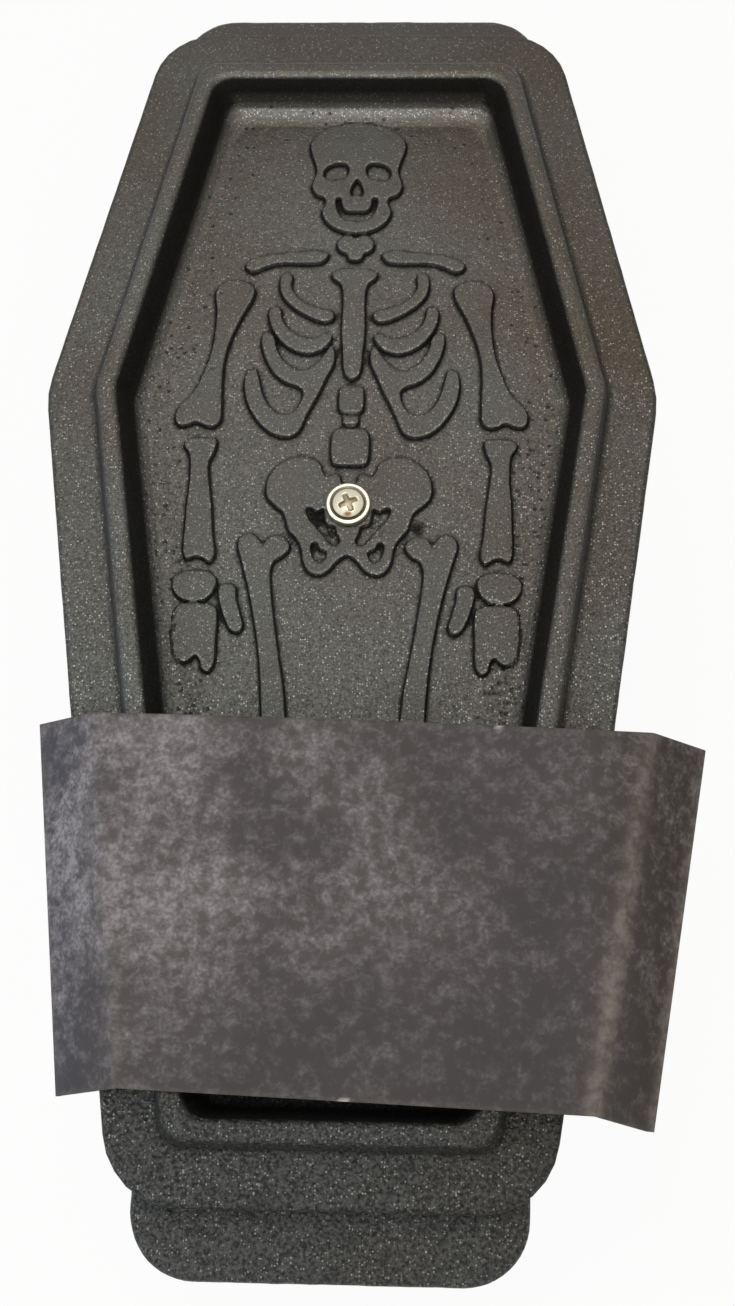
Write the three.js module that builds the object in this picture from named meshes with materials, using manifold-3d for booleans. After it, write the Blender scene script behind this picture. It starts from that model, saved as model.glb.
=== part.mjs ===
// Cast iron loaf pan in the shape of a coffin, packed with its lid lying upside down on it.
// The lid's underside faces up: a flange, a rib that fits the pan's mouth when the lid is turned over,
// and a sunk panel with a skeleton in low relief. A screw through the panel holds the lid's knob,
// which hangs inside the pan. A plain card sleeve lies over the foot end.
// Millimetres, +Z up, +Y towards the head end, origin in the middle of the pan's base.

import * as THREE from "three";
import { mergeVertices } from "three/addons/utils/BufferGeometryUtils.js";
import Module from "manifold-3d";

const wasm = await Module();
wasm.setup();

// Coffin outline of the lid's flange, measured between its sharp corners
const LID_LENGTH = 295;
const HEAD_WIDTH = 103;
const SHOULDER_WIDTH = 150;
const FOOT_WIDTH = 91.5;
const HEAD_TO_SHOULDER = 107;
const HEAD_CORNER = 16;
const SHOULDER_CORNER = 24;
const FOOT_CORNER = 17;
const LEAST_CORNER = 6;

// Lid
const FLANGE_THICKNESS = 6;
const FLANGE_EDGE = 1.2;
const RIB_INSET = 11.7;
const RIB_LEAN = 1.8;
const RIB_CREST = 4.1;
const RIB_HEIGHT = 5.6;
const RIB_EDGE = 1.5;
const RECESS_DEPTH = 11.6;
const RECESS_DRAFT = 0.3;
const RECESS_FILLET = 5;
const PANEL_THICKNESS = 4.5;
const PANEL_WALL = 5;
const PANEL_EDGE = 2.5;
const BONE_HEIGHT = 1.2;

// Pan
const PAN_HEIGHT = 61;
const RIM_MARGIN = 2.5;
const RIM_WIDTH = 8;
const RIM_DEPTH = 7;
const RIM_EDGE = 1;
const WALL_THICKNESS = 5;
const WALL_DRAFT = 0.14;
const BASE_THICKNESS = 5;
const BASE_CORNER = 6;
const FLOOR_CORNER = 8;
const HEAD_TAB_WIDTH = 96;
const HEAD_TAB_REACH = 15.2;
const FOOT_TAB_WIDTH = 84.4;
const FOOT_TAB_REACH = 14.2;
const TAB_CORNER = 14;

// How the lid lies on the pan
const LID_SHIFT = 2.7;
const SEAT_GAP = 0.3;

// Knob with its oval-head screw, sunk in a countersunk washer, placed on the figure's pelvis
const SCREW_ON_FIGURE = -27.7;
const SCREW_DIAMETER = 4;
const SCREW_LENGTH = 20;
const SCREW_HEAD_DIAMETER = 7.5;
const SCREW_CONE_HEIGHT = 1.1;
const SCREW_CROWN_HEIGHT = 0.8;
const CROSS_WIDTH = 1.1;
const CROSS_SPAN = 4.6;
const CROSS_DEPTH = 1.2;
const SCREW_CLEARANCE = 0.4;
const WASHER_DIAMETER = 10.7;
const WASHER_FLOOR = 0.4;
const WASHER_CUP_GAP = 0.5;
const WASHER_EDGE = 0.4;
const KNOB_HEIGHT = 28;
const KNOB_DIAMETER = 32;
const KNOB_BASE_DIAMETER = 19;
const KNOB_BASE_HEIGHT = 4;
const KNOB_NECK_DIAMETER = 13;
const KNOB_HEAD_HEIGHT = 14;
const KNOB_EDGE = 4;

// Card sleeve, loose on the lid and pushed aside, placed by its middle from the lid's foot end;
// its left bevel leans on the flange's edge
const SLEEVE_LENGTH = 82.5;
const SLEEVE_TO_FOOT = 61.7;
const SLEEVE_SHIFT = 6;
const SLEEVE_TURN = -1.38;
const SLEEVE_PLAY = 0.5;
const SLEEVE_BEVEL = 19.1;
const SLEEVE_RIGHT_SLOPE = 44;
const SLEEVE_LEFT_LEAN = 5;
const SLEEVE_RIGHT_LEAN = 13;
const SLEEVE_FLOOR_GAP = 1.5;
const CARD_THICKNESS = 0.6;

// Fineness of round stretches, in chords
const OUTLINE_STEPS = 5;
const PROFILE_STEPS = 2;
const FILLET_STEPS = 3;
const BONE_STEPS = 2;
const LATHE_STEPS = 24;

// Places worked out from the sizes above
const headY = LID_LENGTH / 2;
const shoulderY = headY - HEAD_TO_SHOULDER;
const footY = -headY;
const headNarrowing = (SHOULDER_WIDTH - HEAD_WIDTH) / 2 / HEAD_TO_SHOULDER;
const footNarrowing = (SHOULDER_WIDTH - FOOT_WIDTH) / 2 / (shoulderY - footY);
const mouthInset = RIM_MARGIN + RIM_WIDTH;
const ribInnerInset = RIB_INSET + RIB_LEAN + RIB_CREST;
const panelZ = RIB_HEIGHT - RECESS_DEPTH;
const panelUnderZ = panelZ - PANEL_THICKNESS;
const recessAngle = Math.PI / 2 - Math.atan(RECESS_DRAFT);
const recessFootInset = ribInnerInset + RECESS_DEPTH * RECESS_DRAFT;
const panelInset = recessFootInset + RECESS_FILLET * Math.tan(recessAngle / 2);
const boneTopZ = panelZ + BONE_HEIGHT;
const lidZ = PAN_HEIGHT + SEAT_GAP + FLANGE_THICKNESS;
const headRadius = SCREW_HEAD_DIAMETER / 2;
const sleeveY = footY + SLEEVE_TO_FOOT;
const sleeveTurn = THREE.MathUtils.degToRad(SLEEVE_TURN);

// The figure, in millimetres from the shoulder line, drawn for a panel with this much room
const FIGURE_HEAD_ROOM = 82.2;
const FIGURE_FOOT_ROOM = 163.2;
const FIGURE_SIDE_ROOM = 50.2;
const figureAcross = (SHOULDER_WIDTH / 2 - panelInset) / FIGURE_SIDE_ROOM;
const figureHeadward = (HEAD_TO_SHOULDER - panelInset) / FIGURE_HEAD_ROOM;
const figureFootward = (shoulderY - footY - panelInset) / FIGURE_FOOT_ROOM;
const onFigure = (y) => shoulderY + y * (y > 0 ? figureHeadward : figureFootward);
const screwY = onFigure(SCREW_ON_FIGURE);

// Bones on the middle line: the right half from top to bottom, then the sockets cut into it
const MIDDLE_BONES = {
  skull: {
    half: [
      [0, 84.2], [6, 83.2], [10, 80.6], [12.3, 77], [12.2, 74], [11.3, 71], [10.5, 67.5], [11.2, 64.8],
      [11.6, 62.8], [10.4, 60.5], [8.4, 59.6], [7.9, 58], [8.8, 55.2], [7.8, 52.6], [5, 50.2], [0, 49],
    ],
    middleSockets: [
      [[0, 65.3], [1, 64], [1.9, 61], [1.5, 60], [0, 60.4]],
      [[0, 55.5], [2.7, 55.7], [3.6, 57], [4.1, 59.4], [5.4, 59.4], [5.3, 56.2], [3.7, 53.3], [0, 52.4]],
    ],
    sideSockets: [
      [[2.1, 68.2], [3, 69.8], [5.3, 70.1], [8, 68.9], [9, 66.8], [8.4, 65.1], [5.5, 64.9], [2.8, 65.8]],
    ],
  },
  neck: {
    half: [[0, 47.2], [2, 48.2], [3.6, 47.5], [4.6, 45.6], [4, 43.8], [2.2, 42.9], [1.5, 41.3], [0, 40.9]],
  },
  sternum: {
    half: [
      [0, 38.3], [3.5, 38.2], [5.6, 36.9], [5.3, 35.6], [3.6, 34.2], [2.8, 32], [2.8, 20],
      [2.4, 14.5], [2, 9.5], [1.3, 7.6], [0, 7],
    ],
  },
  upperLumbar: { half: [[0, 4.8], [2.3, 4.6], [2.8, 3.6], [2.8, -1.2], [2.3, -2.2], [0, -2.4]] },
  lumbarDisc: { half: [[0, -3.3], [1.6, -3.5], [1.8, -4.4], [1.6, -5.4], [0, -5.6]] },
  lowerLumbar: { half: [[0, -7], [3.2, -7.1], [4.2, -8.2], [4.3, -15.3], [3.7, -16.4], [0, -16.6]] },
  pelvis: {
    half: [
      [0, -22.4], [1.9, -21.6], [2.4, -19.9], [3.3, -19], [4.4, -19.5], [5.6, -19.9], [6.6, -18.6],
      [7.6, -16.2], [9.6, -14.9], [12.6, -14.5], [16, -15.8], [18.8, -18.7], [20, -22.2], [19.7, -25.2],
      [18, -27.3], [15.8, -29.2], [14.9, -31.4], [14.2, -33.8], [12.2, -36.2], [11, -38.6],
      [10.4, -42], [9, -44.6], [6.8, -45.4], [4.6, -44.4], [2.4, -41.8], [0, -40.3],
    ],
    sideSockets: [
      [
        [10.3, -28.3], [10, -30.5], [8.2, -32.8], [6.1, -35.3], [4.2, -37.7], [2.4, -38], [1.7, -36.8],
        [2.6, -34.5], [3, -32.9], [4.9, -32.4], [5.6, -30], [5.9, -28.2], [7.6, -28.9], [9.2, -27.9],
      ],
      [
        [8.6, -37.2], [7.2, -37.2], [6.6, -38.7], [5, -39.3],
        [4.9, -41], [6, -42.3], [7.6, -41.9], [8.8, -39.9],
      ],
    ],
  },
};

// Bones in pairs: the right one's outline, from which the left one is mirrored
const PAIRED_BONES = {
  clavicle: [
    [7, 42.6], [8.3, 40.5], [11, 40], [19.5, 39.9], [23, 38.8], [25.8, 37.5], [27.7, 38.4],
    [27.6, 39.9], [24.5, 41.8], [19, 42.8], [9, 43.5],
  ],
  firstRib: [
    [17.2, 37.2], [18.5, 36.2], [18.8, 33], [18, 30.2], [15.6, 27.4], [12, 24.9], [9, 23.4], [6.4, 23.1],
    [5.2, 24], [5.4, 25.8], [9.2, 27], [12.4, 28.4], [15, 30.7], [16.2, 33], [16.1, 36.2],
  ],
  secondRib: [
    [20, 27.4], [21.2, 26.2], [21, 22.8], [19.7, 19.8], [17.3, 16.7], [14.3, 14.7], [11, 14], [8.2, 14.9],
    [6.2, 16.8], [5.4, 18.6], [6.4, 19.7], [9, 18.5], [12, 18.5], [14.8, 19.6], [17, 21.6], [18.2, 24],
    [18.8, 26.6],
  ],
  costalArch: [
    [21.8, 19.9], [22.8, 18.5], [22.5, 15], [21.2, 11.5], [19.2, 8.2], [16.4, 5.9], [13.8, 4.9], [12.1, 3.6],
    [12.2, 1], [13.6, -1.8], [15.8, -3], [18.3, -2.7], [20.5, -0.8], [22.4, 3], [23.4, 7], [24.3, 9.4],
    [25.6, 9.3], [26.6, 6.5], [26, 1], [23.8, -3.6], [20.5, -7.4], [17.4, -8.9], [14.6, -8.9], [12.9, -7.6],
    [11, -3], [8, 3.4], [6.3, 7.6], [4.8, 11], [4.6, 13.8], [5.3, 15.9], [7.2, 13.2], [9.8, 10.3],
    [12.5, 9.2], [15.2, 10.1], [17.6, 12.2], [19.2, 15], [20.2, 18.6],
  ],
  upperArm: [
    [27.5, 34.3], [30.5, 34.9], [33.5, 33.9], [35.1, 31.3], [34.6, 26], [34.7, 20], [35.5, 13.5],
    [37.3, 7.5], [39.5, 2.5], [42.3, -0.6], [43.4, -3.6], [42.6, -6], [40.6, -6], [38.2, -5.1], [36.2, -6],
    [34.2, -6.4], [32.5, -5], [32.3, -1], [32.5, 6], [32.2, 12], [30.8, 18], [28.3, 24.5], [25.8, 29.8],
    [25.6, 32.5],
  ],
  forearm: [
    [33.2, -10], [36, -9.6], [39.2, -9.7], [40.7, -11.3], [39.3, -14], [38.8, -20], [39.2, -27], [39.3, -34],
    [39.3, -39.5], [38.6, -41.6], [36.6, -40.9], [34.6, -41.3], [33, -42.3], [32, -40.5], [32.8, -35],
    [33.4, -28], [34.4, -21], [34.7, -16.5], [33.4, -13],
  ],
  wrist: [
    [31.2, -47], [32, -50.2], [34.2, -52.1], [38.4, -52.1], [40.8, -50.2], [41.4, -47.2], [39.5, -45.2],
    [36, -44.6], [32.9, -45.1],
  ],
  hand: [
    [31, -54], [33, -53.2], [39, -53.3], [40.6, -55], [40.8, -60], [40.4, -65], [38.8, -67.4], [36.8, -67.3],
    [35, -65.8], [33.9, -67], [33.3, -69.2], [32, -69.9], [30.9, -68.5], [30.6, -62],
  ],
  thumb: [
    [27.6, -48], [29.4, -48.3], [30.3, -50], [29.6, -53.5], [28.4, -57], [26.9, -59.6], [25.2, -60],
    [24.4, -58.6], [25.2, -55.5], [26.3, -51.5], [26.5, -49],
  ],
  thigh: [
    [14, -38.4], [14.9, -36.5], [16.9, -35.5], [18.9, -36.1], [20.3, -37.9], [21.7, -36.2], [23.6, -34.9],
    [25.6, -35.9], [26.2, -38], [25, -42.5], [23, -50], [21.3, -58], [20, -66], [19.2, -74], [18.8, -82],
    [19.5, -88], [20.5, -92], [19.3, -95], [16.5, -94.2], [13.5, -95], [11.5, -92.5], [12.3, -88],
    [13.3, -82], [14.2, -74], [15.6, -66], [16.9, -58], [18, -50], [18.4, -45], [17.6, -42], [15.4, -40.5],
  ],
  shin: [
    [12, -98.5], [15.8, -97.6], [19.6, -98.3], [20.2, -100.8], [18.4, -105], [17.4, -113], [16.9, -122],
    [16.9, -131], [17.8, -135.5], [17, -138.2], [14.2, -137.8], [11.8, -138.4], [11.2, -135.5], [12.2, -130],
    [12.6, -121], [12.6, -112], [12.3, -105], [11.3, -101],
  ],
  foot: [
    [11.2, -141.2], [14.3, -140.6], [17.4, -141.2], [19, -145], [20.4, -150.5], [20.6, -155], [18.6, -157.2],
    [15.8, -156], [13, -157], [11.4, -154.5], [11.2, -148],
  ],
};

// A path whose corners, given as [x, y, radius], become arcs; an open path keeps its two ends
function roundedPath(corners, steps, closed) {
  const count = corners.length;
  const points = corners.map(([x, y]) => new THREE.Vector2(x, y));
  return corners.flatMap(([, , radius], i) => {
    const at = points[i];
    const isEnd = !closed && (i === 0 || i === count - 1);
    if (isEnd || !radius) return [at];
    const toBack = points[(i + count - 1) % count].clone().sub(at).normalize();
    const toNext = points[(i + 1) % count].clone().sub(at).normalize();
    const half = Math.acos(toBack.dot(toNext)) / 2;
    const turn = Math.sign(toNext.cross(toBack)) * (Math.PI - 2 * half);
    const centre = toBack.clone().add(toNext).setLength(radius / Math.sin(half)).add(at);
    const start = at.clone().addScaledVector(toBack, radius / Math.tan(half));
    return Array.from({ length: steps + 1 }, (_, k) =>
      start.clone().rotateAround(centre, (turn * k) / steps),
    );
  });
}

// Half width of the coffin at a height y, drawn in by an inset square to its slanted edge
function halfWidthAt(y, inset) {
  const narrowing = y > shoulderY ? headNarrowing : footNarrowing;
  return SHOULDER_WIDTH / 2 - narrowing * Math.abs(y - shoulderY) - inset * Math.hypot(1, narrowing);
}

// The coffin outline drawn in by an inset, anticlockwise, with its corners rounded
function coffinOutline(inset) {
  const slantGap = Math.hypot(1, headNarrowing) - Math.hypot(1, footNarrowing);
  const shoulderRise = (inset * slantGap) / (headNarrowing + footNarrowing);
  const shoulderHalf = halfWidthAt(shoulderY, 0) - footNarrowing * shoulderRise;
  const shoulder = shoulderHalf - inset * Math.hypot(1, footNarrowing);
  const right = [
    [halfWidthAt(footY + inset, inset), footY + inset, FOOT_CORNER],
    [shoulder, shoulderY - shoulderRise, SHOULDER_CORNER],
    [halfWidthAt(headY - inset, inset), headY - inset, HEAD_CORNER],
  ];
  const left = right.map(([x, y, radius]) => [-x, y, radius]).reverse();
  const corners = [...right, ...left].map(([x, y, radius]) => {
    return [x, y, Math.max(radius - inset, LEAST_CORNER)];
  });
  return roundedPath(corners, OUTLINE_STEPS, true);
}

// Closed surface through rings of equal length, with flat caps; plane gives a ring point's flat place
function stack(rings, plane) {
  const size = rings[0].length;
  const index = [];
  for (let r = 0; r + 1 < rings.length; r++) {
    for (let i = 0; i < size; i++) {
      const here = r * size + i;
      const next = r * size + ((i + 1) % size);
      index.push(here, next, next + size, here, next + size, here + size);
    }
  }
  const capOf = (ring) => THREE.ShapeUtils.triangulateShape(ring.map(plane), []);
  const last = (rings.length - 1) * size;
  for (const [a, b, c] of capOf(rings[0])) index.push(a, c, b);
  for (const [a, b, c] of capOf(rings.at(-1))) index.push(last + a, last + b, last + c);
  return new THREE.BufferGeometry().setFromPoints(rings.flat()).setIndex(index);
}

// A profile of [inset, z, radius] corners carried round the coffin outline
function coffinSolid(profile, steps) {
  const rings = roundedPath(profile, steps, false).map(({ x: inset, y: z }) =>
    coffinOutline(inset).map((p) => new THREE.Vector3(p.x, p.y, z)),
  );
  return solidOf(stack(rings, (p) => new THREE.Vector2(p.x, p.y)));
}

// A geometry as a solid that can be joined and cut
function solidOf(geometry) {
  const bare = geometry.clone();
  bare.deleteAttribute("normal");
  bare.deleteAttribute("uv");
  const merged = mergeVertices(bare);
  return new wasm.Manifold(
    new wasm.Mesh({
      numProp: 3,
      vertProperties: merged.attributes.position.array,
      triVerts: new Uint32Array(merged.index.array),
    }),
  );
}

// A joined or cut solid as a geometry again
function geometryOf(solid) {
  const { vertProperties, triVerts } = solid.getMesh();
  const geometry = new THREE.BufferGeometry()
    .setAttribute("position", new THREE.BufferAttribute(vertProperties, 3))
    .setIndex(new THREE.BufferAttribute(triVerts, 1));
  geometry.computeVertexNormals();
  return geometry;
}

// A profile of [radius, z, corner radius] turned about the Z axis
function turned(profile, steps) {
  const points = roundedPath(profile, steps, false);
  return new THREE.LatheGeometry(points, LATHE_STEPS).rotateX(Math.PI / 2);
}

// A flat shape made thick, from its bottom up to its top
function slab(shape, bottom, top) {
  const settings = { depth: top - bottom, bevelEnabled: false, curveSegments: OUTLINE_STEPS };
  return solidOf(new THREE.ExtrudeGeometry(shape, settings).translate(0, 0, bottom));
}

// Smooth closed curve through points of the figure, set on the lid's panel
function figureCurve(points) {
  const onPanel = points.map(([x, y]) => new THREE.Vector3(x * figureAcross, onFigure(y), 0));
  const curve = new THREE.CatmullRomCurve3(onPanel, true);
  return curve.getPoints(points.length * BONE_STEPS).slice(0, -1);
}

const mirrored = (points) => points.map(([x, y]) => [-x, y]);
const wholeOf = (half) => [...half, ...mirrored(half.slice(1, -1)).reverse()];
const bothSides = (points) => [points, mirrored(points)];

// The raised bones, rooted in the panel below its face, with their sockets cut out
function bones() {
  const pad = (points) => slab(new THREE.Shape(figureCurve(points)), panelZ - PANEL_THICKNESS / 2, boneTopZ);
  const middle = Object.values(MIDDLE_BONES).map(({ half, middleSockets = [], sideSockets = [] }) => {
    const sockets = [...middleSockets.map(wholeOf), ...sideSockets.flatMap(bothSides)];
    return sockets.reduce((bone, points) => bone.subtract(pad(points)), pad(wholeOf(half)));
  });
  return [...middle, ...Object.values(PAIRED_BONES).flatMap(bothSides).map(pad)];
}

// Lid, with Z = 0 on the flange's upper face
function lidGeometry() {
  const profile = [
    [panelInset, panelUnderZ, 0],
    [recessFootInset - PANEL_WALL + PANEL_EDGE, panelUnderZ, PANEL_EDGE],
    [recessFootInset - PANEL_WALL, -FLANGE_THICKNESS, FLANGE_EDGE],
    [0, -FLANGE_THICKNESS, FLANGE_EDGE],
    [0, 0, FLANGE_EDGE],
    [RIB_INSET, 0, FLANGE_EDGE],
    [RIB_INSET + RIB_LEAN, RIB_HEIGHT, RIB_EDGE],
    [ribInnerInset, RIB_HEIGHT, RIB_EDGE],
    [recessFootInset, panelZ, RECESS_FILLET],
    [panelInset + FLANGE_EDGE, panelZ, 0],
  ];
  const hole = new THREE.Shape().absarc(0, screwY, SCREW_DIAMETER / 2 + SCREW_CLEARANCE, 0, 2 * Math.PI);
  const lid = bones().reduce((solid, bone) => solid.add(bone), coffinSolid(profile, FILLET_STEPS));
  return geometryOf(lid.subtract(slab(hole, panelUnderZ - BONE_HEIGHT, boneTopZ + BONE_HEIGHT)));
}

// Inset of the pan's outer wall at a height z; the inner wall lies one thickness further in
const wallInset = (z) => mouthInset - WALL_THICKNESS + WALL_DRAFT * (PAN_HEIGHT - z);

// Flat handle at an end of the pan, level with the rim and rooted well inside it
function tab(end, width, reach) {
  const half = width / 2;
  const tip = headY - RIM_MARGIN + reach;
  const root = headY - RIM_MARGIN - reach;
  const corners = [
    [end * half, end * root, 0],
    [end * half, end * tip, TAB_CORNER],
    [end * -half, end * tip, TAB_CORNER],
    [end * -half, end * root, 0],
  ];
  const outline = roundedPath(corners, OUTLINE_STEPS, true);
  return slab(new THREE.Shape(outline), PAN_HEIGHT - RIM_DEPTH, PAN_HEIGHT);
}

function panGeometry() {
  const rimZ = PAN_HEIGHT - RIM_DEPTH;
  const innerInset = (z) => wallInset(z) + WALL_THICKNESS;
  const outside = [
    [wallInset(0) + 2 * BASE_CORNER, 0, 0],
    [wallInset(0), 0, BASE_CORNER],
    [wallInset(rimZ), rimZ, RIM_EDGE],
    [RIM_MARGIN, rimZ, RIM_EDGE],
    [RIM_MARGIN, PAN_HEIGHT, RIM_EDGE],
    [mouthInset, PAN_HEIGHT, 0],
  ];
  const hollow = [
    [innerInset(BASE_THICKNESS) + 2 * FLOOR_CORNER, BASE_THICKNESS, 0],
    [innerInset(BASE_THICKNESS), BASE_THICKNESS, FLOOR_CORNER],
    [innerInset(PAN_HEIGHT - RIM_EDGE), PAN_HEIGHT - RIM_EDGE, 0],
    [mouthInset - 2 * RIM_EDGE, PAN_HEIGHT + RIM_EDGE, 0],
  ];
  const headTab = tab(1, HEAD_TAB_WIDTH, HEAD_TAB_REACH);
  const footTab = tab(-1, FOOT_TAB_WIDTH, FOOT_TAB_REACH);
  const solid = coffinSolid(outside, PROFILE_STEPS).add(headTab).add(footTab);
  return geometryOf(solid.subtract(coffinSolid(hollow, FILLET_STEPS)));
}

// Oval-head screw, with Z = 0 where the cone under its head starts; the crown is an arc of a sphere
function screwGeometry() {
  const topZ = SCREW_CONE_HEIGHT + SCREW_CROWN_HEIGHT;
  const crownRadius = (headRadius ** 2 + SCREW_CROWN_HEIGHT ** 2) / (2 * SCREW_CROWN_HEIGHT);
  const crownStart = Math.acos(headRadius / crownRadius);
  const crownZ = topZ - crownRadius;
  const crown = new THREE.EllipseCurve(0, crownZ, crownRadius, crownRadius, crownStart, Math.PI / 2);
  const profile = [
    [0, -SCREW_LENGTH, 0],
    [SCREW_DIAMETER / 2, -SCREW_LENGTH, 0],
    [SCREW_DIAMETER / 2, 0, 0],
    ...crown.getPoints(FILLET_STEPS).slice(0, -1).map((p) => [p.x, p.y, 0]),
    [0, topZ, 0],
  ];
  const along = new THREE.BoxGeometry(CROSS_SPAN, CROSS_WIDTH, 2 * CROSS_DEPTH).translate(0, 0, topZ);
  const across = along.clone().rotateZ(Math.PI / 2);
  const blank = solidOf(turned(profile, PROFILE_STEPS));
  return geometryOf(blank.subtract(solidOf(along)).subtract(solidOf(across)));
}

// Countersunk washer, with Z = 0 on its lower face; its cup runs beside the cone of the screw's head
function washerGeometry() {
  const inner = SCREW_DIAMETER / 2 + SCREW_CLEARANCE;
  const outer = WASHER_DIAMETER / 2;
  const cup = headRadius + WASHER_CUP_GAP;
  const coneSlope = SCREW_CONE_HEIGHT / (headRadius - SCREW_DIAMETER / 2);
  const topZ = WASHER_FLOOR + SCREW_CONE_HEIGHT;
  const profile = [
    [inner, 0, 0],
    [outer, 0, 0],
    [outer, topZ, WASHER_EDGE],
    [cup, topZ, 0],
    [inner, topZ - coneSlope * (cup - inner), 0],
    [inner, 0, 0],
  ];
  return turned(profile, PROFILE_STEPS);
}

// Turned knob hanging down from Z = 0, with a blind bore for the screw
function knobGeometry(boreDepth) {
  const bore = SCREW_DIAMETER / 2 + SCREW_CLEARANCE;
  const headTopZ = KNOB_HEAD_HEIGHT - KNOB_HEIGHT;
  const profile = [
    [0, -KNOB_HEIGHT, 0],
    [KNOB_DIAMETER / 2, -KNOB_HEIGHT, KNOB_EDGE],
    [KNOB_DIAMETER / 2, headTopZ, KNOB_EDGE],
    [KNOB_NECK_DIAMETER / 2, headTopZ, KNOB_EDGE / 2],
    [KNOB_NECK_DIAMETER / 2, -KNOB_BASE_HEIGHT, 0],
    [KNOB_BASE_DIAMETER / 2, -KNOB_BASE_HEIGHT, KNOB_EDGE / 4],
    [KNOB_BASE_DIAMETER / 2, 0, 0],
    [bore, 0, 0],
    [bore, -boreDepth, 0],
    [0, -boreDepth, 0],
  ];
  return turned(profile, FILLET_STEPS);
}

// A folded path moved to its right-hand side by a distance, keeping its folds sharp
function besidePath(path, distance) {
  const sides = path.slice(1).map((p, i) => {
    const along = p.clone().sub(path[i]).normalize();
    return new THREE.Vector2(along.y, -along.x);
  });
  return path.map((p, i) => {
    const before = sides[Math.max(i - 1, 0)];
    const after = sides[Math.min(i, sides.length - 1)];
    const miter = before.clone().add(after).normalize();
    return p.clone().addScaledVector(miter, distance / miter.dot(before));
  });
}

// Section of the sleeve at a place y along the lid, as a closed loop in X and Z about the sleeve's middle.
// Its top lies on the rib. The left bevel passes just over the flange's edge, the right one hangs free.
function sleeveSection(y) {
  const half = halfWidthAt(y, 0) + SLEEVE_PLAY;
  const topZ = RIB_HEIGHT + SEAT_GAP;
  const turnShift = (SLEEVE_LENGTH / 2) * Math.abs(Math.sin(sleeveTurn));
  const edgeRun = SLEEVE_SHIFT - SLEEVE_PLAY + turnShift;
  const left = Math.atan((topZ - 2 * SEAT_GAP) / edgeRun);
  const right = THREE.MathUtils.degToRad(SLEEVE_RIGHT_SLOPE);
  const bottomZ = SLEEVE_FLOOR_GAP - lidZ;
  const leftX = -half - SLEEVE_BEVEL * Math.cos(left);
  const rightX = half + SLEEVE_BEVEL * Math.cos(right);
  const inside = [
    new THREE.Vector2(leftX + SLEEVE_LEFT_LEAN, bottomZ),
    new THREE.Vector2(leftX, topZ - SLEEVE_BEVEL * Math.sin(left)),
    new THREE.Vector2(-half, topZ),
    new THREE.Vector2(half, topZ),
    new THREE.Vector2(rightX, topZ - SLEEVE_BEVEL * Math.sin(right)),
    new THREE.Vector2(rightX - SLEEVE_RIGHT_LEAN, bottomZ),
  ];
  const outside = besidePath([...inside].reverse(), CARD_THICKNESS);
  return [...outside, ...inside];
}

// Card sleeve, open underneath, narrowing with the lid from its head edge to its foot edge
function sleeveGeometry() {
  const rings = [SLEEVE_LENGTH / 2, -SLEEVE_LENGTH / 2].map((y) =>
    sleeveSection(sleeveY + y).map((p) => new THREE.Vector3(p.x, y, p.y)),
  );
  return geometryOf(solidOf(stack(rings, (p) => new THREE.Vector2(p.x, p.z))));
}

const iron = { color: 0x464642, roughness: 0.62, metalness: 0.55 };
const zinc = { color: 0xb9b8b2, roughness: 0.34, metalness: 0.95 };
const stainless = { color: 0xa9a9a6, roughness: 0.28, metalness: 1 };
const card = { color: 0x4c4a4a, roughness: 0.78, metalness: 0 };

function piece(name, geometry, finish, z = 0) {
  const mesh = new THREE.Mesh(geometry, new THREE.MeshStandardMaterial({ ...finish, flatShading: true }));
  mesh.name = name;
  mesh.position.z = z;
  return mesh;
}

const washerZ = boneTopZ + SEAT_GAP;
const headUnderZ = washerZ + WASHER_FLOOR + SEAT_GAP / 2;
const knobZ = panelUnderZ - SEAT_GAP;
const boreDepth = SCREW_LENGTH - (headUnderZ - knobZ) + SCREW_CLEARANCE;

const fastening = new THREE.Group();
fastening.position.y = screwY;
fastening.add(
  piece("knob_washer", washerGeometry(), zinc, washerZ),
  piece("knob_screw", screwGeometry(), zinc, headUnderZ),
  piece("knob", knobGeometry(boreDepth), stainless, knobZ),
);

const sleeve = piece("card_sleeve", sleeveGeometry(), card);
sleeve.position.set(SLEEVE_SHIFT, sleeveY, 0);
sleeve.rotation.z = sleeveTurn;

const lidGroup = new THREE.Group();
lidGroup.position.set(0, LID_SHIFT, lidZ);
lidGroup.add(piece("lid", lidGeometry(), iron), fastening, sleeve);

const loafPan = new THREE.Group();
loafPan.add(piece("pan", panGeometry(), iron), lidGroup);

export default loafPan;
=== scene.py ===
"""Cast iron loaf pan in the shape of a coffin, with its lid lying upside down on it, the lid's knob and
fastening, and a loose card sleeve. Lengths in the code are millimetres, and meshes are written in metres."""

import math
from types import SimpleNamespace

import bpy
import numpy as np
from mathutils import Color, Matrix, Vector


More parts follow.
